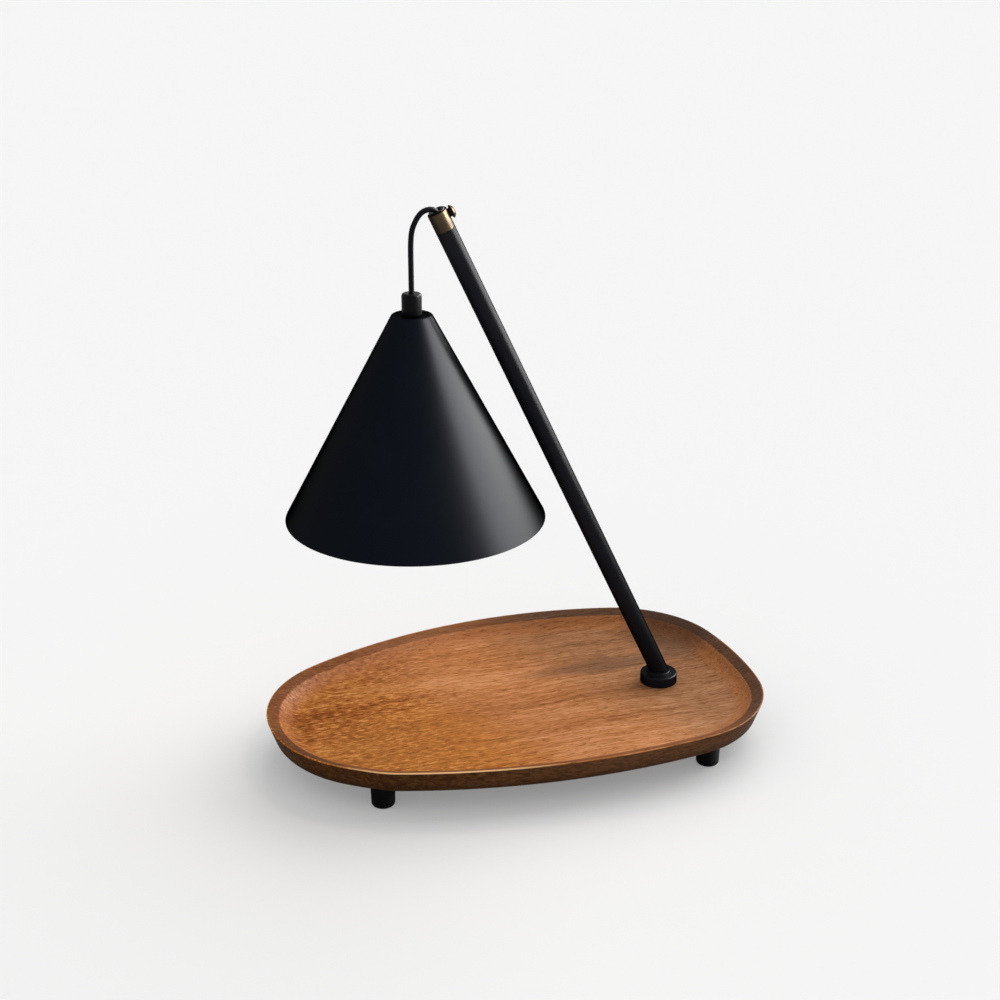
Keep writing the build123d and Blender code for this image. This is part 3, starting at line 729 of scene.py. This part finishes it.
def routeCurve(name, facts, radius):
    curve = bpy.data.curves.new(name, "CURVE")
    curve.dimensions = "3D"
    curve.resolution_u = facts["stepsAlong"]
    curve.bevel_depth = radius
    curve.bevel_resolution = facts["stepsRound"]
    curve.use_fill_caps = True
    spline = curve.splines.new("NURBS")
    spline.points.add(len(facts["route"]) - 1)
    for knot, point in zip(spline.points, facts["route"]):
        knot.co = (*point, 1)
    spline.order_u = 3
    spline.use_endpoint_u = True
    return bpy.data.objects.new(name, curve)


def makeCord(facts):
    radius = facts["diameter"] / 2
    route = facts["route"]
    tube = bpy.data.meshes.new_from_object(routeCurve("cord_tube", facts, radius))
    line = bpy.data.meshes.new_from_object(routeCurve("cord_line", facts, 0))
    cord = makePiece("pendant_cord", tube, "cord_sheath", ["cord_bend"])
    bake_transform(cord)
    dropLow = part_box("cord_drop")[0]
    top = route[-1][2]
    profile = [(0, top, 0), (radius, top, 0), (radius, dropLow.z, 0), (0, dropLow.z, 0)]
    bm = turned(profile, closed=False, steps=facts["tailSteps"], cuts=facts["tailCuts"])
    bmesh.ops.transform(bm, matrix=shadePlace, verts=bm.verts[:])
    tail = makePiece("pendant_cord_tail", meshFrom("pendant_cord_tail", bm), "cord_sheath", ["cord_drop"])
    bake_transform(tail)


makeCord(cordFacts)


# Tray

trayShape = {
    "length": 325.3 * mm,
    "width": 213.3 * mm,
    "corners": [  # end, and the gaps of the corner's circle to the end, the front and the back
        (1, 1.5 * mm, 5.0 * mm, 61.8 * mm),
        (1, 2.7 * mm, 58.6 * mm, 7.2 * mm),
        (-1, 0.1 * mm, 22.0 * mm, 27.6 * mm),
        (-1, 22.2 * mm, 17.2 * mm, 75.9 * mm),
    ],
    "sides": [256 * mm, 312 * mm, 208 * mm, 430 * mm],  # radii: right, back, left, front
    "chord": 4.2 * mm,  # longest straight bit of the outline
    "dishDepth": 10 * mm,
    "draft": 6 * mm,
    "lip": 1.2 * mm,
    "band": 6.8 * mm,
    "bandDrop": 2.5 * mm,
    "coveRun": 6 * mm,
    "innerRing": 24 * mm,  # width of the ring of faces round the middle of the floor and the underside
    # roundings: how far each reaches from its edge, and its steps
    "lipRound": (0.6 * mm, 4),
    "innerLipRound": (0.4 * mm, 2),
    "ledgeRound": (1.0 * mm, 3),
    "coveRound": (6.7 * mm, 9),
    "underRound": (4.25 * mm, 7),
    "recess": 10.5 * mm,  # radius of the nut's recess under the hub
    "recessDepth": 3 * mm,
    "shankHole": 5.15 * mm,
    "holeSteps": 64,
    "sharp": 38,
    "weld": 0.05 * mm,
}

# how near a point lies to a place on the outline, to count as on it
outlineSlack = {
    "angle": 1e-4,
    "height": 0.02 * mm,
    "inset": 0.1 * mm,
    "sideInset": 0.3 * mm,
}
deepInside = 60 * mm  # where the mark of the rim stops growing


def cornerCircles(shape):
    circles = []
    for end, endGap, frontGap, backGap in shape["corners"]:
        radius = (shape["width"] - frontGap - backGap) / 2
        centre = Vector((end * (shape["length"] / 2 - endGap - radius), (frontGap - backGap) / 2))
        circles.append((centre, radius))
    return circles


def sideCentre(first, second, radius):
    # the centre of the arc of that radius that holds both corner circles against it
    reachA, reachB = radius - first[1], radius - second[1]
    base = second[0] - first[0]
    along = (reachA ** 2 - reachB ** 2 + base.length_squared) / (2 * base.length)
    across = math.sqrt(reachA ** 2 - along ** 2)
    unit = base.normalized()
    return first[0] + unit * along + Vector((-unit.y, unit.x)) * across


def outlineArcs(shape):
    # centre, radius, first angle and sweep of each arc, going round to the left from the front right
    circles = cornerCircles(shape)
    count = len(circles)
    centres = [sideCentre(circles[i], circles[(i + 1) % count], shape["sides"][i]) for i in range(count)]
    arcs = []
    for i, (centre, radius) in enumerate(circles):
        following = circles[(i + 1) % count][0]
        spans = [(centre, radius, centre - centres[i - 1], centre - centres[i]),
                 (centres[i], shape["sides"][i], centre - centres[i], following - centres[i])]
        for middle, reach, start, end in spans:
            first = math.atan2(start.y, start.x)
            sweep = (math.atan2(end.y, end.x) - first) % (2 * math.pi)
            arcs.append((middle, reach, first, sweep))
    return arcs


def insetAt(point, arcs):
    # how far a point lies inside the outline
    slack = outlineSlack["angle"]
    insets = []
    for centre, radius, first, sweep in arcs:
        offset = Vector(point[:2]) - centre
        turn = (math.atan2(offset.y, offset.x) - first + slack) % (2 * math.pi)
        if turn <= sweep + 2 * slack:
            insets.append(radius - offset.length)
    return min(insets, default=1.0)


def ringEdges(bm, arcs, inset, level):
    # the edges of the ring at that inset and height
    onLevel = [vert for vert in bm.verts if abs(vert.co.z - level) < outlineSlack["height"]]
    near = {vert for vert in onLevel if abs(insetAt(vert.co, arcs) - inset) < outlineSlack["inset"]}
    return [edge for edge in bm.edges if edge.verts[0] in near and edge.verts[1] in near]


def stepInwards(bm, faces, steps):
    for inward, deeper in steps:
        bmesh.ops.inset_region(bm, faces=faces, thickness=inward, depth=deeper,
                               use_even_offset=True, use_boundary=True)


def trayBlank(shape, arcs, underZ, rimZ):
    bm = bmesh.new()
    centre, radius, first, sweep = arcs[0]
    start = centre + Vector((math.cos(first), math.sin(first))) * radius
    tip = bm.verts.new((*start, rimZ))
    for centre, radius, first, sweep in arcs:
        steps = math.ceil(radius * sweep / shape["chord"])
        made = bmesh.ops.spin(bm, geom=[tip], cent=(*centre, rimZ), axis=(0, 0, 1), dvec=(0, 0, 0),
                              angle=sweep, steps=steps)
        tip = [item for item in made["geom_last"] if isinstance(item, bmesh.types.BMVert)][0]
    bmesh.ops.remove_doubles(bm, verts=bm.verts[:], dist=shape["weld"])
    dish = bmesh.ops.edgeloop_fill(bm, edges=bm.edges[:])["faces"]
    if dish[0].normal.z < 0:
        bmesh.ops.reverse_faces(bm, faces=dish)
    floorZ = rimZ - shape["dishDepth"]
    ledgeZ = rimZ - shape["bandDrop"]
    stepInwards(bm, dish, [(shape["lip"], 0), (shape["band"], ledgeZ - rimZ),
                           (shape["coveRun"], floorZ - ledgeZ), (shape["innerRing"], 0)])
    under = bmesh.ops.edgeloop_fill(bm, edges=[edge for edge in bm.edges if edge.is_boundary])["faces"]
    if under[0].normal.z > 0:
        bmesh.ops.reverse_faces(bm, faces=under)
    stepInwards(bm, under, [(shape["draft"], rimZ - underZ), (shape["innerRing"], 0)])
    ledge = shape["lip"] + shape["band"]
    rounds = [
        (0, rimZ, shape["lipRound"]),
        (shape["lip"], rimZ, shape["innerLipRound"]),
        (ledge, ledgeZ, shape["ledgeRound"]),
        (ledge + shape["coveRun"], floorZ, shape["coveRound"]),
        (shape["draft"], underZ, shape["underRound"]),
    ]
    for inset, level, (offset, segments) in rounds:
        bmesh.ops.bevel(bm, geom=ringEdges(bm, arcs, inset, level), offset=offset,
                        offset_type="OFFSET", segments=segments, profile=0.5, affect="EDGES", material=-1)
    return bm


def drilled(blank, cutter):
    # the blank's mesh with the cutter's taken out of it
    drill = blank.modifiers.new("nut_recess", "BOOLEAN")
    drill.operation = "DIFFERENCE"
    drill.solver = "EXACT"
    drill.object = cutter
    graph = bpy.context.evaluated_depsgraph_get()
    mesh = bpy.data.meshes.new_from_object(blank.evaluated_get(graph))
    blank.modifiers.remove(drill)
    return mesh


def markRim(mesh, arcs, rimZ, floorZ):
    # how far each point lies in from the edge, and below 0 how far down the outer side
    across = mesh.attributes.new("acrossRim", "FLOAT", "POINT")
    for vertex, mark in zip(mesh.vertices, across.data):
        inset = insetAt(vertex.co, arcs)
        drop = rimZ - vertex.co.z
        outside = drop > inset + outlineSlack["sideInset"] or vertex.co.z < floorZ - mm
        mark.value = -drop if outside else min(inset, deepInside)


def makeTray(shape):
    low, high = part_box("wood_tray")
    underZ, rimZ = low.z, high.z
    floorZ = rimZ - shape["dishDepth"]
    arcs = outlineArcs(shape)
    blank = makePiece("tray_body", meshFrom("tray_body", trayBlank(shape, arcs, underZ, rimZ)),
                      "wood", ["wood_tray"], "base")
    step = underZ + shape["recessDepth"]
    above, below = floorZ + mm, underZ - mm  # the cutter stands proud of both faces
    cut = [(0, above, 0), (shape["shankHole"], above, 0), (shape["shankHole"], step, 0),
           (shape["recess"], step, 0), (shape["recess"], below, 0), (0, below, 0)]
    bm = turned(cut, closed=False, steps=shape["holeSteps"])
    bmesh.ops.transform(bm, matrix=standing(*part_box("arm_hub")), verts=bm.verts[:])
    cutter = bpy.data.objects.new("tray_cutter", meshFrom("tray_cutter", bm))
    bpy.context.scene.collection.objects.link(cutter)
    mesh = drilled(blank, cutter)
    blank.data = mesh
    bpy.data.objects.remove(cutter)
    markRim(mesh, arcs, rimZ, floorZ)
    mesh.set_sharp_from_angle(angle=math.radians(shape["sharp"]))
    print("tray:", len(mesh.polygons), "faces")


makeTray(trayShape)


# Feet

footShape = {
    "taper": 0.4 * mm,
    "round": 2.0 * mm,
    "topRound": 0.5 * mm,
    "washerRecess": 3.25 * mm,
    "recessRound": 0.4 * mm,
    "recessRoof": 4.0 * mm,  # rubber above the washer
    "steps": 64,
}


def makeFeet(shape):
    for name in ("foot_front_left", "foot_front_right", "foot_back_left", "foot_back_right"):
        low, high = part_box(name)
        radius = (high.x - low.x) / 2
        roof = high.z - shape["recessRoof"]
        profile = [
            (shape["washerRecess"], low.z, shape["recessRound"]),
            (radius - shape["taper"], low.z, shape["round"]),
            (radius, high.z, shape["topRound"]),
            (0, high.z, 0),
            (0, roof, 0),
            (shape["washerRecess"], roof, 0),
        ]
        turnedPiece("rubber_" + name, profile, standing(low, high), "foot_rubber", [name], "base",
                    steps=shape["steps"])


makeFeet(footShape)
print("feet done")


# Hub and arm

hubShape = {
    "radius": 12.3 * mm,
    "height": 7.0 * mm,
    "chamfer": 1.0 * mm,
    "footRound": 0.25 * mm,
    "collarRadius": 7.8 * mm,
    "collarRound": 0.45 * mm,
    "collarFlare": 0.25 * mm,  # how much wider the collar is at its foot
    "creaseRound": 0.2 * mm,
    "shankRadius": 5 * mm,
    "shankRound": 0.4 * mm,
    "bore": 3.25 * mm,
    "boreRound": 0.2 * mm,
    "steps": 128,
}


def makeHub(shape):
    low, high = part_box("arm_hub")
    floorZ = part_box("wood_tray")[1].z - trayShape["dishDepth"]
    shoulder = floorZ + shape["height"]
    profile = [
        (shape["bore"], low.z, shape["boreRound"]),
        (shape["shankRadius"], low.z, shape["shankRound"]),
        (shape["shankRadius"], floorZ, 0),
        (shape["radius"], floorZ, shape["footRound"]),
        (shape["radius"], shoulder, shape["chamfer"]),
        (shape["collarRadius"] + shape["collarFlare"], shoulder, shape["creaseRound"]),
        (shape["collarRadius"], high.z, shape["collarRound"]),
        (shape["bore"], high.z, 0),
    ]
    turnedPiece("hub_collar", profile, standing(low, high), "black_metal", ["arm_hub"], "base",
                steps=shape["steps"])


# pieces on the arm are turned about its axis, with 0 at the mouth and the rest below it
tubeShape = {
    "radius": 6.1 * mm,
    "wall": 1 * mm,
    "ferruleLength": 12 * mm,
    "seatDepth": 4.8 * mm,  # how far the tube stands in the hub
    "footRound": 0.2 * mm,
    "topRound": 0.15 * mm,
}


def armLength():
    # from the mouth down to the hub's top, along the arm
    return (mouth.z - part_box("arm_hub")[1].z) / armUp.z


def makeTube(shape):
    foot = -armLength() - shape["seatDepth"]
    top = -shape["ferruleLength"]
    outer = shape["radius"]
    inner = outer - shape["wall"]
    profile = [
        (inner, foot, 0),
        (outer, foot, shape["footRound"]),
        (outer, top, shape["topRound"]),
        (inner, top, 0),
    ]
    turnedPiece("arm_coated_tube", profile, armPlace, "black_metal", ["arm_tube"], "base")


makeHub(hubShape)
makeTube(tubeShape)
print("hub and arm done")


# Mouth: brass ferrule, black bush, thumb screw and its washer

ferruleShape = {
    "spigotLength": 10 * mm,
    "spigotRadius": 5.05 * mm,
    "spigotRound": 0.3 * mm,
    "bore": 2.6 * mm,
    "boreRound": 0.1 * mm,
    "round": 0.5 * mm,
    "grooveWidth": 0.4 * mm,
    "grooveDepth": 0.35 * mm,
    "grooveRound": 0.12 * mm,
    "bushGap": 0.05 * mm,
    "seatRound": 0.15 * mm,
}


def makeFerrule(shape):
    outer = tubeShape["radius"]
    foot = -tubeShape["ferruleLength"]
    groove = foot + shape["grooveWidth"]
    seat = bushShape["radius"] + shape["bushGap"]
    profile = [
        (shape["bore"], foot - shape["spigotLength"], shape["boreRound"]),
        (shape["spigotRadius"], foot - shape["spigotLength"], shape["spigotRound"]),
        (shape["spigotRadius"], foot, 0),
        (outer - shape["grooveDepth"], foot, 0),
        (outer - shape["grooveDepth"], groove, 0),
        (outer, groove, shape["grooveRound"]),
        (outer, 0, shape["round"]),
        (seat, 0, shape["seatRound"]),
        (seat, -bushShape["length"], 0),
        (shape["bore"], -bushShape["length"], 0),
    ]
    turnedPiece("mouth_ferrule", profile, armPlace, "aged_brass", ["tube_ferrule"], "base")


bushShape = {
    "radius": 4.15 * mm,
    "length": 9 * mm,
    "footRound": 0.2 * mm,
    "lipRadius": 5.1 * mm,
    "lipHeight": 0.9 * mm,
    "lipRound": 0.5 * mm,
    "lipUnderRound": 0.1 * mm,
    "lipLift": 0.02 * mm,  # air between the lip and the ferrule
    "cordHole": 1.95 * mm,
    "flare": 3.5 * mm,
    "flareDepth": 2.4 * mm,
    "flareRound": 0.8 * mm,
}


def makeBush(shape):
    low, high = -shape["length"], shape["lipHeight"]
    profile = [
        (shape["cordHole"], low, 0),
        (shape["radius"], low, shape["footRound"]),
        (shape["radius"], shape["lipLift"], 0),
        (shape["lipRadius"], shape["lipLift"], shape["lipUnderRound"]),
        (shape["lipRadius"], high, shape["lipRound"]),
        (shape["flare"], high, shape["lipRound"]),
        (shape["cordHole"], high - shape["flareDepth"], shape["flareRound"]),
    ]
    turnedPiece("mouth_bush", profile, armPlace, "black_plastic", ["cord_bush"], "base")


# heights are distances from the arm's axis
screwShape = {
    "tip": 2.79 * mm,
    "radius": 1.5 * mm,
    "tipRound": 0.2 * mm,
    "neckRound": 0.1 * mm,
    "headRadius": 4.05 * mm,
    "headLow": 7.5 * mm,
    "headLowRound": 0.15 * mm,
    "headEdge": 0.8 * mm,
    "headEdgeRound": 0.12 * mm,
    "headHeight": 2.4 * mm,
    "domeShoulder": (0.72, 0.78),  # shares of the head's radius and of the dome's height
    "domeRound": 1.2 * mm,
    "domeFootRound": 0.1 * mm,
    "knurls": 24,
    "knurlDepth": 0.25 * mm,
    "knurlSteps": 4,
    "knurlReach": 0.2 * mm,  # points this near to the head's edge are pressed in
    "knurlShare": 0.1,
    "sharp": 30,
}


def screwPlace():
    return armPlace @ Matrix.Translation((0, 0, -screwBelowMouth)) @ Matrix.Rotation(math.pi / 2, 4, "Y")


def pressKnurls(bm, shape, low, high):
    # notches round the head's edge
    for vertex in bm.verts:
        out = Vector(vertex.co[:2])
        if low < vertex.co.z < high and out.length > shape["headRadius"] - shape["knurlReach"]:
            share = math.atan2(out.y, out.x) / (2 * math.pi) * shape["knurls"] % 1
            if min(share, 1 - share) < shape["knurlShare"]:
                vertex.co.xy = out * ((out.length - shape["knurlDepth"]) / out.length)


def makeThumbScrew(shape):
    edge = shape["headLow"] + shape["headEdge"]
    top = shape["headLow"] + shape["headHeight"]
    radius = shape["headRadius"]
    shoulderRadius, shoulderRise = shape["domeShoulder"]
    profile = [
        (0, shape["tip"], 0),
        (shape["radius"], shape["tip"], shape["tipRound"]),
        (shape["radius"], shape["headLow"], shape["neckRound"]),
        (radius, shape["headLow"], shape["headLowRound"]),
        (radius, edge, shape["headEdgeRound"]),
        (radius - shape["knurlDepth"], edge, shape["domeFootRound"]),
        (radius * shoulderRadius, edge + (top - edge) * shoulderRise, shape["domeRound"]),
        (0, top, 0),
    ]
    bm = turned(profile, closed=False, steps=shape["knurls"] * shape["knurlSteps"])
    hair = 0.01 * mm
    pressKnurls(bm, shape, shape["headLow"] - hair, edge + hair)
    bmesh.ops.transform(bm, matrix=screwPlace(), verts=bm.verts[:])
    makePiece("brass_thumb_screw", meshFrom("brass_thumb_screw", bm), "aged_brass", ["thumb_screw"],
              "clamp_screw", shape["sharp"])


washerShape = {
    "radius": 2.7 * mm,
    "height": 0.8 * mm,
    "lift": 0.02 * mm,  # air between the washer and the ferrule
    "screwGap": 0.05 * mm,
    "lowRound": 0.15 * mm,
    "topRound": 0.25 * mm,
    "holeRound": 0.15 * mm,
    "steps": 48,
}


def makeScrewWasher(shape):
    low = tubeShape["radius"] + shape["lift"]
    high = low + shape["height"]
    inner = screwShape["radius"] + shape["screwGap"]
    profile = [
        (inner, low, 0),
        (shape["radius"], low, shape["lowRound"]),
        (shape["radius"], high, shape["topRound"]),
        (inner, high, shape["holeRound"]),
    ]
    turnedPiece("mouth_washer", profile, screwPlace(), "black_plastic", ["screw_washer"], "base",
                steps=shape["steps"])


makeFerrule(ferruleShape)
makeBush(bushShape)
makeThumbScrew(screwShape)
makeScrewWasher(washerShape)
print("mouth done")


# Shade, its cord grip, and the lamp in it

shadeShape = {
    "topRadius": 12.1 * mm,
    "topRound": 1.0 * mm,
    "wall": 0.9 * mm,
    "rimRound": 0.5 * mm,
    "hole": 4.15 * mm,
    "hemWidth": 1.1 * mm,
    "hemHeight": 1.8 * mm,
    "hemRound": 0.4 * mm,
    "hemCrease": 0.2 * mm,
    "ceilingRound": 0.6 * mm,
    "steps": 240,
}


def makeShade(shape):
    low, high = shadeLow.z, shadeHigh.z
    rim = (shadeHigh.x - shadeLow.x) / 2
    flare = (rim - shape["topRadius"]) / (high - low)
    across = shape["wall"] * math.hypot(1, flare)  # the sheet's thickness measured level
    ceiling = high - shape["wall"]
    inner = rim - across
    hemInner = inner - shape["hemWidth"]
    hemTop = low + shape["hemHeight"]
    narrower = flare * shape["hemHeight"]
    profile = [
        (shape["hole"], high, 0),
        (shape["topRadius"], high, shape["topRound"]),
        (rim, low, shape["rimRound"]),
        (hemInner, low, shape["rimRound"]),
        (hemInner - narrower, hemTop, shape["hemRound"]),
        (inner - narrower, hemTop, shape["hemCrease"]),
        (shape["topRadius"] + flare * shape["wall"] - across, ceiling, shape["ceilingRound"]),
        (shape["hole"], ceiling, 0),
    ]
    turnedPiece("cone_shade", profile, shadePlace, "shade_metal", ["shade"], "hanging_shade",
                steps=shape["steps"])


gripShape = {
    "radius": 6.05 * mm,
    "chamfer": 1.6 * mm,
    "footRound": 0.2 * mm,
    "cordHole": 1.8 * mm,
    "holeRound": 0.4 * mm,
    "nippleHole": 4.02 * mm,
    "roof": 5.8 * mm,  # above the nipple
}


def makeGrip(shape):
    low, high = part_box("cord_grip")
    pocket = high.z - shape["roof"]
    profile = [
        (shape["nippleHole"], low.z, 0),
        (shape["radius"], low.z, shape["footRound"]),
        (shape["radius"], high.z, shape["chamfer"]),
        (shape["cordHole"], high.z, shape["holeRound"]),
        (shape["cordHole"], pocket, 0),
        (shape["nippleHole"], pocket, 0),
    ]
    turnedPiece("shade_cord_grip", profile, shadePlace, "black_plastic", ["cord_grip"], "hanging_shade")


bowlShape = {
    "neck": 11 * mm,
    "front": 25 * mm,
    "wall": 1.5 * mm,
    "ring": 4 * mm,
    "ringRound": 0.3 * mm,
    "rimRound": 0.4 * mm,
    "shoulder": (21 * mm, 22.4 * mm),  # where the bowl's two tangents meet: radius, height over the ring
    "shoulderRound": 12 * mm,
}


def makeBowl(shape):
    low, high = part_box("lamp_bowl")
    ringTop = low.z + shape["ring"]
    shoulderRadius, shoulderRise = shape["shoulder"]
    shoulderZ = ringTop + shoulderRise
    wall = shape["wall"]
    profile = [
        (shape["neck"], high.z, 0),
        (shoulderRadius, shoulderZ, shape["shoulderRound"]),
        (shape["front"], ringTop, shape["ringRound"]),
        (shape["front"], low.z, shape["rimRound"]),
        (shape["front"] - wall, low.z, shape["ringRound"]),
        (shape["front"] - wall, ringTop, shape["ringRound"]),
        (shoulderRadius - wall, shoulderZ, shape["shoulderRound"]),
        (shape["neck"] - wall, high.z, 0),
    ]
    turnedPiece("lamp_reflector", profile, shadePlace, "lamp_glass", ["lamp_bowl"], "hanging_shade")


lensShape = {
    "dome": 0.4 * mm,  # how far the middle stands proud
    "domeSide": (0.6, 0.25 * mm),  # share of the radius, and how far it stands proud there
    "domeRound": 4 * mm,
    "rimRound": 0.5 * mm,
    "backRound": 0.2 * mm,
}


def makeLens(shape):
    low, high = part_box("lamp_lens")
    radius = (high.x - low.x) / 2
    sideShare, sideProud = shape["domeSide"]
    profile = [
        (0, low.z - shape["dome"], 0),
        (radius * sideShare, low.z - sideProud, shape["domeRound"]),
        (radius, low.z, shape["rimRound"]),
        (radius, high.z, shape["backRound"]),
        (0, high.z, 0),
    ]
    turnedPiece("lamp_front_lens", profile, shadePlace, "lens_glass", ["lamp_lens"], "hanging_shade",
                closed=False)


makeShade(shadeShape)
makeGrip(gripShape)
makeBowl(bowlShape)
makeLens(lensShape)
print("shade and lamp done")


# Floor, world and lights

stageSettings = {
    "floorSize": 30.0,
    "floorColour": (0.9, 0.9, 0.9, 1),
    "background": 0.915,
    "floorGlow": 0.25,  # share of the floor's own white that lightens its shadow for the camera
    "ambient": 0.62,
    # side is degrees to the right of the camera's own direction, height is degrees above the floor
    "window": {"side": 140, "height": 44, "angle": 66, "strength": 1.82, "shine": False},
    "softbox": {"side": 109, "height": 20, "angle": 66, "strength": 54.0, "shine": True},
}


def makeFloor(settings):
    bm = bmesh.new()
    bmesh.ops.create_grid(bm, x_segments=1, y_segments=1, size=settings["floorSize"] / 2)
    floor = bpy.data.objects.new("floor", meshFrom("floor", bm))
    bpy.context.scene.collection.objects.link(floor)
    finish = Finish("pale_floor")
    ground = finish.add("ShaderNodeBsdfDiffuse", {}, {"Color": settings["floorColour"]})
    glow = finish.add("ShaderNodeEmission", {}, {"Strength": settings["background"]})
    share = finish.add("ShaderNodeLightPath", output="Is Camera Ray") * settings["floorGlow"]
    ground = finish.add("ShaderNodeMixShader", {}, {0: share, 1: ground, 2: glow})
    clear = finish.add("ShaderNodeBsdfTransparent")
    behind = finish.add("ShaderNodeNewGeometry", output="Backfacing")
    both = finish.add("ShaderNodeMixShader", {}, {0: behind, 1: ground, 2: clear})
    finish.add("ShaderNodeOutputMaterial", {}, {"Surface": both})
    floor.data.materials.append(finish.material)


def makeWorld(settings):
    # a plain even light, and a white surround for the camera and for reflections
    world = bpy.data.worlds.new("studio")
    bpy.context.scene.world = world
    finish = Finish("studio", world)
    seen = 0
    for ray in ("Is Camera Ray", "Is Glossy Ray", "Is Transmission Ray"):
        seen = finish.add("ShaderNodeLightPath", output=ray) + seen
    sockets = {"Value": seen, "To Min": settings["ambient"], "To Max": settings["background"]}
    strength = finish.add("ShaderNodeMapRange", {}, sockets)
    glow = finish.add("ShaderNodeBackground", {}, {"Color": (1, 1, 1, 1), "Strength": strength})
    finish.add("ShaderNodeOutputWorld", {}, {"Surface": glow})


def makeSun(name, settings, cameraTurn):
    sun = bpy.data.lights.new(name, "SUN")
    sun.energy = settings["strength"]
    sun.angle = math.radians(settings["angle"])
    lamp = bpy.data.objects.new(name, sun)
    bpy.context.scene.collection.objects.link(lamp)
    lamp.visible_diffuse = not settings["shine"]  # a shine light only shows in reflections
    side = math.radians(cameraTurn + settings["side"])
    rise = math.radians(settings["height"])
    towards = Vector((math.sin(side) * math.cos(rise), -math.cos(side) * math.cos(rise), math.sin(rise)))
    lamp.rotation_euler = towards.to_track_quat("Z", "Y").to_euler()


makeFloor(stageSettings)
makeWorld(stageSettings)
makeSun("window_light", stageSettings["window"], cameraSettings["turn"])
makeSun("softbox_shine", stageSettings["softbox"], cameraSettings["turn"])
bpy.context.scene.view_settings.view_transform = "Standard"
print("stage done")
